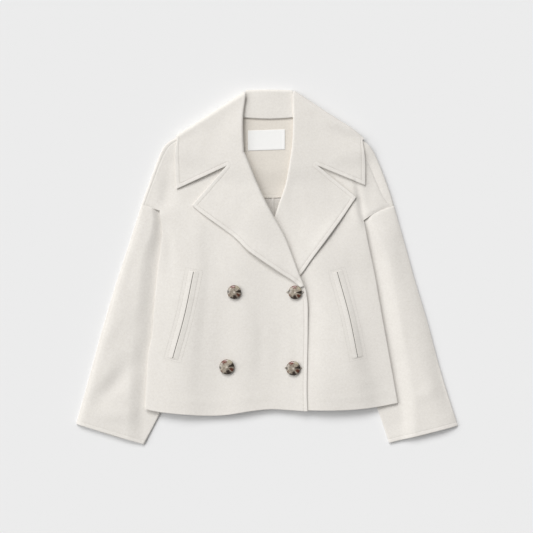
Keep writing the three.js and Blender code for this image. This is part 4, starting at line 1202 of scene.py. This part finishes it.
@dataclass
class Front(Piece):
    """One front panel, from its side and armhole to the free edge and the roll of its lapel."""

    side: Side = Side.RIGHT
    roll_inset: float = 8.4
    first_inset: float = 0.12
    cells: tuple[int, int] = (92, 14)
    across: int = 78

    def edge(self) -> Route:
        """The free edge, then the line under the lapel's roll, then the neck edge."""
        roll = np.array(ROLL[self.side], float)
        inset = np.full((len(roll), 1), -self.roll_inset * self.side.sign)
        inset[0] *= self.first_inset
        ahead = np.vstack([roll[1:], roll[-1:]]) - np.vstack([roll[:1], roll[:-1]])
        ahead /= np.linalg.norm(ahead, axis=1, keepdims=True)
        moved = roll + np.column_stack([-ahead[:, 1], ahead[:, 0]]) * inset
        return Route([*FREE_EDGE[self.side], *map(tuple, moved), *NECK_EDGE[self.side]])

    def build(self) -> None:
        """Builds, stitches and hands over the panel."""
        hem = HEM[self.side] if self.side is Side.RIGHT else HEM[self.side][::-1]
        left = Route(BODY_EDGE[self.side], ARMHOLE[self.side])
        patch = Patch(left, self.edge(), Route(hem), Route(SHOULDER_SEAM[self.side]))
        side_rows = graded(left.length * left.stops[1], self.cells[0], start=True, end=False)[0] * left.stops[1]
        v = np.concatenate([side_rows, blend(left.stops[1], 1, np.linspace(0, 1, self.cells[1] + 1)[1:])])
        u = graded(patch.widths(v), self.across, start=False, end=True)
        u = np.concatenate([u[:, :1], u[:, 1:2] * np.array([[0.12, 0.3, 0.6]]), u[:, 1:]], axis=1)
        points = patch.at(u, v[:, None])
        net = raised(points, Stack.front(self.side, points[..., 0], points[..., 1]))
        shell = Shell(net, CLOTH, finished=[Route(FREE_EDGE[self.side]).points], pinch=0.35, swell=0.15)
        piece = shell.build(f"{self.side.value}_front_panel")
        trims = []
        if self.side is Side.RIGHT:
            line = Route(FREE_EDGE[self.side]).moved(-STITCH_LINE)
            trims.append(STITCHING.sew("front_edge_stitches", [line], piece))
        self.hand_over(piece, trims)


@dataclass
class TurnedCloth(Piece):
    """Cloth turned back over a front, which starts under its own roll."""

    side: Side = Side.RIGHT
    roll_steps: int = 8
    most_reach: float = 0.6

    def turned_net(self, patch: Patch, v: np.ndarray, puff: np.ndarray, shares: np.ndarray) -> np.ndarray:
        """Works out the net.

        Args:
            patch: The piece as seen from above, with the roll on its left.
            v: Shares along the roll.
            puff: How far the roll stands up in each row.
            shares: Shares past the roll, a row for each v.

        Returns:
            Points, a row for each v, from under the roll to the outer edge.
        """
        width = patch.widths(v)
        radius = (TURNED_OVER_FRONT + puff - ROLL_LIFT) / 2
        span = TURNED / 2 + radius
        reach = np.minimum(span / np.maximum(width, 1e-6), self.most_reach)
        start = patch.at(reach, v)
        top = Stack.turned(self.side, start[:, 0], start[:, 1], np.zeros_like(v), puff)
        off, height = half_round(TURNED, radius, top, self.roll_steps)
        rolled = raised(patch.at(reach[:, None] * off / span[:, None], v[:, None]), height)
        flat = patch.at(blend(reach[:, None], 1, shares), v[:, None])
        lying = Stack.turned(self.side, flat[..., 0], flat[..., 1], shares * width[:, None], puff[:, None])
        return np.concatenate([rolled, raised(flat, lying)[:, 1:]], axis=1)


@dataclass
class Lapel(TurnedCloth):
    """One lapel."""

    puff_run: tuple[float, float] = (0.0, 0.3)
    shown_past: float = 60.0
    along: int = 96
    across: int = 50

    def build(self) -> None:
        """Builds, stitches and hands over the lapel."""
        side = self.side
        notch = [GORGE[side][-1], LAPEL_POINT[side]]
        lower = Route([ROLL[side][0], LAPEL_EDGE[side][0]])
        patch = Patch(Route(ROLL[side]), Route(LAPEL_EDGE[side]), lower, Route(GORGE[side], notch))
        v = graded(Route(ROLL[side]).length, self.along, start=False, end=True)[0]
        shares = graded(patch.widths(v), self.across)
        net = self.turned_net(patch, v, ROLL_PUFF[side] * ramp(v, *self.puff_run), shares)
        finished = [Route(LAPEL_EDGE[side]).points, Route(notch).points]
        shell = Shell(net, TURNED, finished=finished, grain=24.0 * side.sign)
        piece = shell.build(f"{side.value}_lapel")
        lines = inset_lines([LAPEL_EDGE[side], notch[::-1]], -STITCH_LINE * side.sign)
        if side is Side.LEFT:
            lines[0] = lines[0][lines[0][:, 0] > self.shown_past]
        self.hand_over(piece, [STITCHING.sew(f"{side.value}_lapel_stitches", lines, piece)])


@dataclass
class Collar(TurnedCloth):
    """Two wings of the collar and its leaf behind the neck, one sheet folded at both shoulders."""

    puff_run: tuple[float, float] = (1.0, 0.35)
    fold_inset: float = 7.0
    fold_steps: int = 10
    along: int = 46
    across: int = 46
    leaf_cells: int = 60
    gorge_gap: tuple[float, float] = (0.6, 0.3)

    def _wing(self, side: Side) -> tuple[np.ndarray, np.ndarray, np.ndarray]:
        """Nets of one wing and of its fold over the shoulder, and the fold's foot."""
        self.side = side
        fold = Route(WING_FOLD[side])
        shares = graded(fold.length, self.across)[0]
        inner = fold.inwards(shares) * side.sign
        at = fold.at(shares) + inner * self.fold_inset
        top = Stack.turned(side, at[:, 0], at[:, 1], np.full(len(shares), PUFF_REACH), np.zeros(len(shares)))
        off, height = half_round(TURNED, (top - LEAF_MID) / 2, top, self.fold_steps)
        turn = raised(fold.at(shares)[:, None] + inner[:, None] * off[..., None], height)
        upper = Route(turn[:, 0])
        gorge = [(GORGE[side][k][0], GORGE[side][k][1] + self.gorge_gap[k]) for k in (0, 1)]
        left = Route([gorge[0], *WING_ROLL[side][1:-1], upper.at(np.array(0.0))])
        right = Route([*WING_EDGE[side][:-1], upper.at(np.array(1.0))])
        patch = Patch(left, right, Route(gorge, [gorge[1], COLLAR_POINT[side]]), upper)
        v = graded(left.length, self.along, start=True, end=False)[0]
        rows = np.broadcast_to(shares, (len(v), len(shares)))
        return self.turned_net(patch, v, ROLL_PUFF[side] * ramp(v, *self.puff_run), rows), turn, turn[:, 0]

    def build(self) -> None:
        """Builds, stitches and hands over the collar."""
        wings, folds, feet = {}, {}, {}
        blank = np.full((1, self.roll_steps, 3), np.nan)
        for side in Side:
            wings[side], turn, feet[side] = self._wing(side)
            steps = turn[:, 1:-1].transpose(1, 0, 2)
            folds[side] = np.concatenate([np.repeat(blank, len(steps), axis=0), steps], axis=1)
        right, left = feet[Side.RIGHT], feet[Side.LEFT]
        leaf = Patch(Route([right[0], LEAF_TOP, left[0]]), Route([right[-1], *LEAF_FOOT, left[-1]]), Route(right),
                     Route(left))
        v = np.linspace(0, 1, self.leaf_cells + 1)
        shares = np.linspace(0, 1, len(right))
        flat = raised(leaf.at(np.broadcast_to(self._feet_shares(right), (len(v), len(shares))), v[:, None]), LEAF_MID)
        leaf_rows = np.concatenate([np.repeat(blank, len(v), axis=0), flat], axis=1)
        net = np.concatenate([wings[Side.RIGHT], folds[Side.RIGHT][::-1], leaf_rows, folds[Side.LEFT],
                              wings[Side.LEFT][::-1]])
        edges = [WING_EDGE[side] for side in Side] + [[GORGE[side][-1], COLLAR_POINT[side]] for side in Side]
        piece = Shell(net, TURNED, finished=[Route(edge).points for edge in edges], grain=-32.0).build("collar_cloth")
        lines = []
        for side in Side:
            notch = [GORGE[side][-1], COLLAR_POINT[side]]
            lines += inset_lines([notch, WING_EDGE[side]], -STITCH_LINE * side.sign)
        self.hand_over(piece, [STITCHING.sew("collar_stitches", lines, piece)])

    @staticmethod
    def _feet_shares(foot: np.ndarray) -> np.ndarray:
        """Share of a fold's foot at each of its points."""
        steps = np.linalg.norm(np.diff(foot[:, :2], axis=0), axis=1)
        return np.concatenate([[0], np.cumsum(steps)]) / steps.sum()


@dataclass
class Stand(Piece):
    """The collar's stand, from the neck seam up to the roll and over it."""

    radii: tuple[float, float] = (3.2, 4.2)
    seam_height: float = 10.2
    seam_reach: float = 2.6
    cells: tuple[int, int] = (60, 26)
    turn_steps: int = 10

    def build(self) -> None:
        """Builds and hands over the stand."""
        v = np.linspace(0, 1, self.cells[0] + 1)
        foot, edge = Route(STAND_SEAM).at(v), Route(STAND_ROLL).at(v)
        height = np.linalg.norm(foot - edge, axis=1)
        foot = foot + (foot - edge) * (self.seam_reach / height)[:, None]
        height = height + self.seam_reach
        radius = blend(*self.radii, np.sin(np.pi * v))
        top = LEAF_MID + 2 * radius
        off, level = half_round(TURNED, radius, top, self.turn_steps)
        turn = raised(blend(edge[:, None], foot[:, None], (off / height[:, None])[..., None]), level)
        share = np.linspace(0, 1, self.cells[1] + 1)[None, 1:]
        along = blend((off[:, -1] / height)[:, None], 1, share)
        flat = blend(edge[:, None], foot[:, None], along[..., None])
        lying = raised(flat, blend(top[:, None], self.seam_height, share))
        self.hand_over(Shell(np.concatenate([turn, lying], axis=1), TURNED).build("collar_stand_cloth"))


@dataclass
class Back(Piece):
    """The back, which turns over each shoulder edge and comes forward to the shoulder seam."""

    cells: tuple[int, int] = (84, 14)
    across: int = 64
    neck_cells: int = 26
    turn_steps: int = 8

    def _top(self, side: Side) -> dict[str, np.ndarray]:
        """The turned cloth at one shoulder."""
        shares = np.concatenate([[0, 0.004, 0.01, 0.02, 0.035], np.linspace(0.05, 1, self.across)])
        edge, seam = Route(SHOULDER_EDGE[side]), Route(SHOULDER_SEAM[side])
        rim, end = edge.at(shares), seam.at(shares)
        inner = edge.inwards(shares) * -side.sign
        gap = rim - end
        end = end + gap / np.linalg.norm(gap, axis=1, keepdims=True) * SEAM
        height = Stack.front(side, end[:, 0], end[:, 1])
        radius = (height - Stack.back(rim[:, 0], rim[:, 1])) / 2
        off, level = half_round(CLOTH, radius, height, self.turn_steps)
        turn = raised(rim[:, None] + inner[:, None] * off[..., None], level)
        return {"foot": turn[:, 0, :2], "turn": turn[:, 1:], "end": raised(end, height)}

    def build(self) -> None:
        """Builds and hands over the back."""
        tops = {side: self._top(side) for side in Side}
        neck = Route(NECK_SEAM).at(np.linspace(0, 1, self.neck_cells + 1)[1:-1])
        right, left = tops[Side.RIGHT], tops[Side.LEFT]
        upper = np.vstack([right["foot"], neck, left["foot"][::-1]])
        u = np.linspace(0, 1, len(upper))
        sides = Route(BACK_SIDE[Side.RIGHT], BACK_ARMHOLE[Side.RIGHT])
        patch = Patch(sides, Route(BACK_SIDE[Side.LEFT], BACK_ARMHOLE[Side.LEFT]), Route(BACK_HEM), Route(NECK_SEAM))
        corners = [upper[0], upper[-1]]
        v = np.concatenate([np.linspace(0, sides.stops[1], self.cells[0] + 1),
                            np.linspace(sides.stops[1], 1, self.cells[1] + 1)[1:]])[:, None]
        a, b = u[None, :, None], v[..., None]
        side_part = (1 - a) * patch.left.at(v) + a * patch.right.at(v)
        low = patch.lower.at(u)[None]
        ends = (1 - b) * low + b * upper[None]
        bottom = (1 - a) * low[:, :1] + a * low[:, -1:]
        high = (1 - a) * corners[0] + a * corners[1]
        flat = side_part + ends - (1 - b) * bottom - b * high
        x, y = flat[..., 0], flat[..., 1]
        lifted = sum(crease.height(x, y) for crease in UNDERSIDE_CREASES)
        net = raised(flat, Stack.back(x, y) + np.minimum(lifted, LAID))
        none = np.full((len(neck), 3), np.nan)
        rows = [np.vstack([right["turn"][:, k], none, left["turn"][::-1, k]]) for k in range(self.turn_steps)]
        rows.append(np.vstack([right["end"], none, left["end"][::-1]]))
        net = np.concatenate([net, np.array(rows)])
        shell = Shell(net, CLOTH, finished=[Route(BACK_HEM).points], pinch=0.3)
        self.hand_over(shell.build("back_panel"))


@dataclass
class Sleeve(Piece):
    """One sleeve, a tube laid flat with its inner edge tucked under the body and pressed thin."""

    side: Side = Side.RIGHT
    mids: tuple[float, float, float] = (3.3, 4.8, 3.7)
    crest_mid: float = 10.8
    head_run: tuple[float, float] = (0.0, 0.15)
    cuff_run: tuple[float, float] = (0.92, 1.0)
    cuff_drop: float = 1.0
    slope: tuple[float, float, float] = (3.0, 18.0, 38.0)
    slope_run: tuple[float, float] = (0.0, 0.25)
    round_width: float = 56.0
    crease_run: tuple[float, float] = (0.0, 24.0)
    drop_run: tuple[float, float] = (0.8, 1.0)
    along: int = 120
    across: int = 46
    turn_steps: int = 8
    cuff_peek: float = 2.4
    peek_run: tuple[float, float] = (0.97, 1.0)

    def build(self) -> None:
        """Builds and hands over the sleeve."""
        side = self.side
        ends = [SLEEVE_EDGE[side][-1], SLEEVE_TUCK[side][-1]]
        patch = Patch(Route(SLEEVE_EDGE[side]), Route(SLEEVE_TUCK[side]), Route(SLEEVE_HEAD[side]), Route(ends))
        v = graded(Route(SLEEVE_EDGE[side]).length, self.along, start=False, end=True)[0]
        width = patch.widths(v)
        tucked, tucked_cuff, outer_mid = self.mids
        head = ramp(v, *self.head_run)
        tuck_top = blend(tucked, tucked_cuff, ramp(v, *self.cuff_run))
        crest = blend(FRONT_MID, self.crest_mid, head) - self.cuff_drop * ramp(v, *self.drop_run)
        outer_top = blend(FRONT_MID - SHOULDER_DROP[side], outer_mid, head)
        slope_end = blend(self.slope[1], self.slope[2], ramp(v, *self.slope_run))
        outer_off, outer_z = half_round(CLOTH, (outer_top - BACK_MID) / 2, outer_top, self.turn_steps)
        inner_off, inner_z = half_round(CLOTH, (tuck_top - BACK_MID) / 2, tuck_top, self.turn_steps)

        low, high = outer_off[:, -1] / width, 1 - inner_off[:, -1] / width
        u = blend(low[:, None], high[:, None], np.linspace(0, 1, self.across + 1)[None, 1:-1])
        top = patch.at(u, v[:, None])
        outside = -Stack.inward(top[..., 0], top[..., 1], 1)
        risen = ramp(outside, self.slope[0], slope_end[:, None])
        rounded = (1 - np.clip(u * width[:, None] / self.round_width, 0, 1)) ** 2
        height = blend(tuck_top[:, None], crest[:, None], risen) - (crest - outer_top)[:, None] * rounded
        lifted = sum(crease.height(top[..., 0], top[..., 1]) for crease in SLEEVE_CREASES[side])
        height = height + lifted * ramp(outside, *self.crease_run)
        under_u = blend(high[:, None], low[:, None], np.linspace(0, 1, self.across // 2 + 1)[None, 1:-1])
        under = patch.at(under_u, v[:, None])
        peek = self.cuff_peek * ramp(v, *self.peek_run)[:, None] * np.sin(np.pi * under_u) ** 2
        under = under - np.stack([np.zeros_like(peek), peek], axis=-1)
        net = np.concatenate([
            raised(patch.at(outer_off / width[:, None], v[:, None]), outer_z),
            raised(top, height),
            raised(patch.at(1 - inner_off[:, ::-1] / width[:, None], v[:, None]), inner_z[:, ::-1]),
            raised(under, BACK_MID),
        ], axis=1)
        cuff = Route(ends).points
        shell = Shell(net, CLOTH, around=True, finished=[cuff], pinch=0.3, grain=15.0 * side.sign)
        self.hand_over(shell.build(f"{side.value}_sleeve_tube"))


@dataclass
class NeckFacing(Piece):
    """The facing inside the back of the neck."""

    sides: tuple[Line, Line] = (((-62, 146), (-84, 200), (-72, 309)), ((74, 146), (90, 200), (78, 309)))
    foot: Line = ((-62, 146), (4, 138), (74, 146))
    neck: Line = ((-72, 309), (-45, 300.6), (2, 298), (50, 300.6), (78, 309))
    cells: tuple[int, int] = (66, 50)

    def build(self) -> None:
        """Builds and hands over the facing."""
        patch = Patch(Route(self.sides[0]), Route(self.sides[1]), Route(self.foot), Route(self.neck))
        v = np.linspace(0, 1, self.cells[0] + 1)[:, None]
        points = patch.at(np.linspace(0, 1, self.cells[1] + 1)[None, :], v)
        lift = CLOTH / 2 + FACING_GAP + FACING / 2
        net = raised(points, Stack.back(points[..., 0], points[..., 1]) + lift)
        self.hand_over(Shell(net, FACING, finished=[Route(self.foot).points], pinch=0.2).build("neck_facing_cloth"))


@dataclass
class BackLining(Piece):
    """The lining under the facing, with its centre pleat."""

    area: tuple[float, float, float, float] = (-60.0, 78.0, 58.0, 137.4)
    pleat: tuple[float, float, float] = (13.0, 5.0, 1.2)
    cells: tuple[int, int] = (40, 92)

    def build(self) -> None:
        """Builds and hands over the lining."""
        left, right, foot, top = self.area
        x, y = np.meshgrid(np.linspace(left, right, self.cells[1] + 1), np.linspace(foot, top, self.cells[0] + 1))
        middle, wide, high = self.pleat
        rise = high * (ramp(x, middle - wide, middle) * ramp(x, middle + 1.6, middle))
        height = Stack.back(x, y) + CLOTH / 2 + SEAM + LINING / 2 + rise
        net = np.stack([x, y, height], axis=-1)
        self.hand_over(Shell(net, LINING).build("back_lining_cloth"))


@dataclass
class NeckLabel(Piece):
    """The blank woven label sewn to the facing."""

    middle: tuple[float, float] = (-1.0, 254.0)
    size: tuple[float, float] = (74.0, 40.0)
    tilt: float = 0.035
    fold: float = 31.0
    cells: tuple[int, int] = (24, 40)

    def build(self) -> None:
        """Builds and hands over the label."""
        across, along = np.meshgrid(*(np.linspace(-0.5, 0.5, count + 1) for count in self.cells[::-1]))
        x = self.middle[0] + across * self.size[0]
        y = self.middle[1] + along * self.size[1] + across * self.size[0] * self.tilt
        lift = CLOTH / 2 + FACING_GAP + FACING + SEAM + LABEL / 2
        crease = -0.2 * np.exp(-(((across * self.size[0] - self.fold) / 0.8) ** 2))
        net = np.stack([x, y, Stack.back(x, y) + lift + crease], axis=-1)
        corners = [net[0, :, :2], net[-1, :, :2], net[:, 0, :2], net[:, -1, :2]]
        shell = Shell(net, LABEL, finished=[Route(list(map(tuple, line[::8]))).points for line in corners], pinch=0.0)
        self.hand_over(shell.build("neck_label_weave"))


@dataclass
class Pocket:
    """A slanted pocket: two padded welts beside its slit, and the frame of stitches round them."""

    side: Side
    top: tuple[float, float]
    bottom: tuple[float, float]
    bow: float = 3.0
    welt_width: float = 9.4
    slit: float = 2.2
    lip: float = 1.0
    sunk: float = 0.5
    outer_frame: tuple[float, float] = (17.6, 5.0)
    inner_frame: tuple[float, float] = (11.0, 1.4)
    cells: tuple[int, int] = (84, 12)
    cut: Cut = field(default_factory=lambda: Cut(0.0115, 0.176, 0.0020))

    def _mouth(self) -> Route:
        """The line of the slit."""
        middle = ((self.top[0] + self.bottom[0]) / 2 + self.bow, (self.top[1] + self.bottom[1]) / 2)
        return Route([self.top, middle, self.bottom])

    def _welt(self, towards: int) -> np.ndarray:
        """Net of one welt, towards the front edge for 1 and the side for -1."""
        mouth = self._mouth()
        v = np.linspace(0, 1, self.cells[0] + 1)
        share = np.linspace(0, 1, self.cells[1] + 1)
        off = self.slit / 2 + share * self.welt_width
        points = mouth.at(v)[:, None] - mouth.inwards(v)[:, None] * (towards * off)[None, :, None]
        crown = self.lip * (1 - share) ** 2 + 0.25 * np.sin(np.pi * share) - self.sunk
        height = Stack.front(self.side, points[..., 0], points[..., 1]) + CLOTH / 2 + crown[None]
        return raised(points, height)

    def _inside(self) -> bpy.types.Object:
        """The pocket's inside between the welts, a thin sheet painted near black as painted shade in the slit."""
        mouth = self._mouth()
        v = np.linspace(0.004, 0.996, self.cells[0] + 1)
        off = np.array([-1.6, -0.8, 0.0, 0.8, 1.6])
        points = mouth.at(v)[:, None] + mouth.inwards(v)[:, None] * off[None, :, None]
        height = Stack.front(self.side, points[..., 0], points[..., 1]) + CLOTH / 2
        return Shell(raised(points, height), 0.3).build(f"{self.side.value}_pocket_slit_shade")

    def _frame(self, out: float, ends: float) -> np.ndarray:
        """A closed line round the welts."""
        mouth = self._mouth()
        v = np.linspace(0, 1, 40)
        along = (mouth.points[-1] - mouth.points[0]) / np.linalg.norm(mouth.points[-1] - mouth.points[0])
        sides = [mouth.at(v) + mouth.inwards(v) * out * towards for towards in (1, -1)]
        stretch = np.interp(v, [0, 1], [-ends, ends])[:, None] * along
        return np.vstack([sides[0] + stretch, (sides[1] + stretch)[::-1], (sides[0] + stretch)[:1]])

    def build(self, panel: bpy.types.Object) -> None:
        """Builds and hands over the welts and the stitches.

        Args:
            panel: The front that the pocket is in.
        """
        front_way = 1 if self.side is Side.RIGHT else -1
        for name, towards in (("front", front_way), ("back", -front_way)):
            node = f"pocket_{self.side.value}_{name}_welt"
            shell = Shell(self._welt(towards), WELT, grain=-13.0 * self.side.sign, bulge=0.9)
            piece = shell.build(f"{self.side.value}_pocket_{name}_welt_cloth")
            trims = []
            if name == "front":
                frames = [self._frame(*self.outer_frame), self._frame(*self.inner_frame)]
                trims.append(STITCHING.sew(f"{self.side.value}_pocket_frame_stitches", frames, panel))
                # The strip between the welts carries painted shade.
                trims.append(self._inside())
                WARDROBE.dress(trims[-1], SLIT_SHADE_WOOL)
            Piece(node, self.cut, (f"front_{self.side.value}",)).hand_over(piece, trims)


@dataclass
class Button:
    """A domed button on its thread shank, with the end of its buttonhole beside it where that shows."""

    number: int
    place: tuple[float, float]
    diameter: float
    turn: float = 0.0
    hole: float = 0.0
    shank: tuple[float, float] = (2.6, 1.6)
    profile: Line = ((0.0, 0.0), (0.60, 0.0), (0.82, 0.3), (0.95, 0.9), (1.0, 1.9), (0.985, 2.6), (0.92, 3.5),
                     (0.80, 4.2), (0.66, 4.7), (0.50, 5.05), (0.34, 5.3), (0.16, 5.38), (0.0, 5.4))
    sides: int = 72
    slope_step: float = 6.0
    strands: int = 7
    thread_past: float = 0.2
    hole_stitches: int = 46
    hole_half: float = 1.1
    hole_reach: float = 1.5

    def _pose(self) -> tuple[Vector, Vector]:
        """Where the shank starts, and which way the button faces."""
        x, y = self.place
        step = self.slope_step
        heights = Stack.front(Side.RIGHT, np.array([x, x + step, x - step, x, x]),
                              np.array([y, y, y, y + step, y - step]))
        up = Vector((heights[2] - heights[1], heights[4] - heights[3], 2 * step)).normalized()
        return Vector((x, y, heights[0])) + up * (CLOTH / 2 + BUTTON_GAP), up

    def _revolve(self, profile: np.ndarray) -> tuple[np.ndarray, list]:
        """Turns a profile of radii and heights round Z."""
        angle = np.arange(self.sides) / self.sides * 2 * np.pi
        ring = np.stack([np.cos(angle), np.sin(angle)], axis=1)
        verts = [(0, 0, profile[0, 1])]
        for radius, height in profile[1:-1]:
            verts.extend((*(spot * radius), height) for spot in ring)
        verts.append((0, 0, profile[-1, 1]))
        faces = tube_faces(1, self.sides, len(profile) - 2)
        last = len(verts) - 1 - self.sides
        for k in range(self.sides):
            after = (k + 1) % self.sides
            faces += [(0, 1 + after, 1 + k), (last + k, last + after, len(verts) - 1)]
        return np.array(verts, float), faces

    def _shank_thread(self, length: float) -> tuple[np.ndarray, list]:
        """A post wound with thread, from the cloth to the button."""
        rings, steps = 4 * self.strands, 20
        verts = []
        for k in range(rings + 1):
            height = -BUTTON_GAP + length * k / rings
            radius = self.shank[0] * (0.86 + 0.14 * math.cos(2 * math.pi * k / 4))
            for step in range(steps):
                angle = 2 * math.pi * step / steps
                verts.append((radius * math.cos(angle), radius * math.sin(angle), height))
        caps = [tuple(reversed(range(steps))), tuple(rings * steps + step for step in range(steps))]
        return np.array(verts), tube_faces(0, steps, rings + 1) + caps

    def _put(self, name: str, verts: np.ndarray, faces: list, finish: object) -> bpy.types.Object:
        """Makes an object whose origin is the button's foot."""
        foot, up = self._pose()
        made = make_object(name, verts, faces)
        made.rotation_mode = "QUATERNION"
        made.rotation_quaternion = Vector((0, 0, 1)).rotation_difference(up)
        made.location = foot * MM
        WARDROBE.dress(made, finish)
        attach(made, "root")
        return made

    def _buttonhole(self) -> None:
        """A worked buttonhole under the button, with close stitches round its slit."""
        x, y = self.place
        half = self.hole / 2
        verts, faces = [], []
        for k in range(self.hole_stitches):
            angle = 2 * math.pi * k / self.hole_stitches
            cosine, sine = math.cos(angle), math.sin(angle)
            edge = np.array([math.copysign(abs(cosine) ** 0.35, cosine) * half, sine * self.hole_half])
            out = np.array([0.5 * cosine, sine])
            out /= np.linalg.norm(out)
            side = np.array([-out[1], out[0]])
            height = float(Stack.front(Side.RIGHT, np.array([x + edge[0]]), np.array([y + edge[1]]))[0]) + CLOTH / 2
            base = len(verts)
            for along in (0.0, 0.5, 1.0):
                spot = edge + out * along * self.hole_reach
                lift = 0.30 * math.sin(math.pi * along)
                for offset, rise in ((-0.42, -0.15), (0.0, 0.34), (0.42, -0.15)):
                    point = spot + side * offset
                    verts.append((x + point[0], y + point[1], height + rise + lift))
            for row in (0, 3):
                faces += [(base + row, base + row + 1, base + row + 4, base + row + 3),
                          (base + row + 1, base + row + 2, base + row + 5, base + row + 4),
                          (base + row + 2, base + row, base + row + 3, base + row + 5)]
            faces += [(base, base + 2, base + 1), (base + 6, base + 7, base + 8)]
        made = make_object(f"buttonhole_{self.number}_stitches", verts, faces, smooth=False)
        WARDROBE.dress(made, Thread("buttonhole_thread", (0.52, 0.47, 0.40), (0.26, 0.22, 0.17)))
        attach(made, "root")

    def build(self) -> None:
        """Builds and hands over the button, its thread and its buttonhole."""
        scale = np.array([self.diameter / 2, 1.0])
        verts, faces = self._revolve(np.array(self.profile) * scale + np.array([0.0, self.shank[1]]))
        finish = Horn(f"mottled_horn_{self.number}", self.diameter / 2, self.turn, 0.37 * self.number)
        face = self._put(f"horn_button_{self.number}", verts, faces, finish)
        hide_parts(f"button_{self.number}")
        thread = self._shank_thread(BUTTON_GAP + self.shank[1] + self.thread_past)
        post = self._put(f"button_thread_{self.number}", *thread, Thread())
        if self.hole:
            self._buttonhole()
        LOG.info("button %d: %d faces", self.number, len(face.data.polygons))


@dataclass(frozen=True)
class Lamp:
    """A broad, far lamp: its share of the light on the floor, its height, bearing and spread in degrees."""

    name: str
    share: float
    height: float
    bearing: float
    spread: float

    def hang(self) -> None:
        """Adds the lamp to the scene."""
        up, around = math.radians(self.height), math.radians(self.bearing)
        lamp = bpy.data.lights.new(self.name, "SUN")
        lamp.angle = math.radians(self.spread)
        lamp.energy = self.share * math.pi / math.sin(up)
        hung = bpy.data.objects.new(self.name, lamp)
        towards = Vector((math.cos(up) * math.cos(around), math.cos(up) * math.sin(around), math.sin(up)))
        hung.rotation_euler = towards.to_track_quat("Z", "Y").to_euler()
        bpy.context.scene.collection.objects.link(hung)


@dataclass
class Studio:
    """Floor, lights and camera."""

    floor_half: float = 4.0
    floor_level: float = -0.0002
    camera_height: float = 2.527
    aim: tuple[float, float] = (-0.001, 0.001)
    lens: float = 85.0
    sensor: float = 36.0
    clip: tuple[float, float] = (0.05, 20.0)
    lamps: tuple[Lamp, ...] = (
        Lamp("side_light", 0.32, 39.0, 166.0, 50.0),
        Lamp("top_light", 0.38, 42.0, 108.0, 30.0),
    )

    def build(self) -> None:
        """Builds the studio."""
        half = self.floor_half
        corners = ((-half, -half), (half, -half), (half, half), (-half, half))
        verts = np.array([(*corner, self.floor_level) for corner in corners])
        floor = make_object("floor", verts / MM, [(0, 1, 2, 3)])
        WARDROBE.dress(floor, Floor())

        world = bpy.data.worlds.new("soft_white")
        world.use_nodes = True
        background = world.node_tree.nodes["Background"]
        background.inputs["Color"].default_value = (1.0, 1.0, 1.0, 1.0)
        background.inputs["Strength"].default_value = 1 - sum(lamp.share for lamp in self.lamps)
        bpy.context.scene.world = world

        for lamp in self.lamps:
            lamp.hang()

        view = bpy.data.cameras.new("camera")
        view.lens = self.lens
        view.sensor_width = self.sensor
        view.clip_start, view.clip_end = self.clip
        camera = bpy.data.objects.new("camera", view)
        camera.location = (*self.aim, self.camera_height)
        bpy.context.scene.collection.objects.link(camera)
        bpy.context.scene.camera = camera
        bpy.context.scene.view_settings.view_transform = "Standard"
        LOG.info("studio ready")


def main() -> None:
    """Builds the jacket and its studio."""
    logging.basicConfig(level=logging.INFO, format="%(name)s %(message)s")
    Studio().build()
    Back("back", Cut(0.60, 0.66, 0.268)).build()
    NeckFacing("back_neck_facing", Cut(0.176, 0.171, 0.0270), ("back",), "wool_inside", FACING_WOOL_SHADED).build()
    BackLining("back_lining", Cut(0.139, 0.080, 0.0111), ("back",), "lining", Satin()).build()
    NeckLabel("neck_label", Cut(0.074, 0.040, 0.00296), ("back_neck_facing",), "label", LabelWeave()).build()
    sleeve_cut = Cut(0.36, 0.48, 0.118)
    Sleeve("sleeve_right", sleeve_cut, side=Side.RIGHT, crest_mid=9.2, round_width=18.0, mids=(3.3, 4.8, 4.9)).build()
    Sleeve("sleeve_left", sleeve_cut, side=Side.LEFT, crest_mid=11.6, round_width=42.0, mids=(3.3, 4.8, 3.4)).build()
    for side, front_cut, lapel_cut, puff_run in (
        (Side.LEFT, Cut(0.37, 0.61, 0.142), Cut(0.18, 0.33, 0.0340), (0.55, 0.85)),
        (Side.RIGHT, Cut(0.35, 0.61, 0.150), Cut(0.17, 0.30, 0.0250), (0.2, 0.65)),
    ):
        Front(f"front_{side.value}", front_cut, ("back", f"sleeve_{side.value}"), side=side).build()
        Lapel(f"lapel_{side.value}", lapel_cut, (f"front_{side.value}",), side=side, puff_run=puff_run).build()
    Stand("collar_stand", Cut(0.12, 0.062, 0.0073), ("collar",)).build()
    Collar("collar", Cut(0.56, 0.19, 0.0700), ("front_right", "front_left")).build()
    for side, top, bottom in ((Side.RIGHT, (-146.2, -9), (-188, -182)), (Side.LEFT, (140, -9), (181, -180))):
        Pocket(side, top, bottom).build(bpy.data.objects[f"{side.value}_front_panel"])
    for number, place, diameter, turn, hole in (
        (1, (-65, -50), 27.6, 0.0, 0.0),
        (2, (56.4, -50.6), 27.2, -8.0, 32.0),
        (3, (-79.8, -199.2), 30.0, 10.0, 0.0),
        (4, (52.8, -201.8), 28.6, 4.0, 32.0),
    ):
        Button(number, place, diameter, turn, hole).build()


if __name__ == "__main__":
    main()
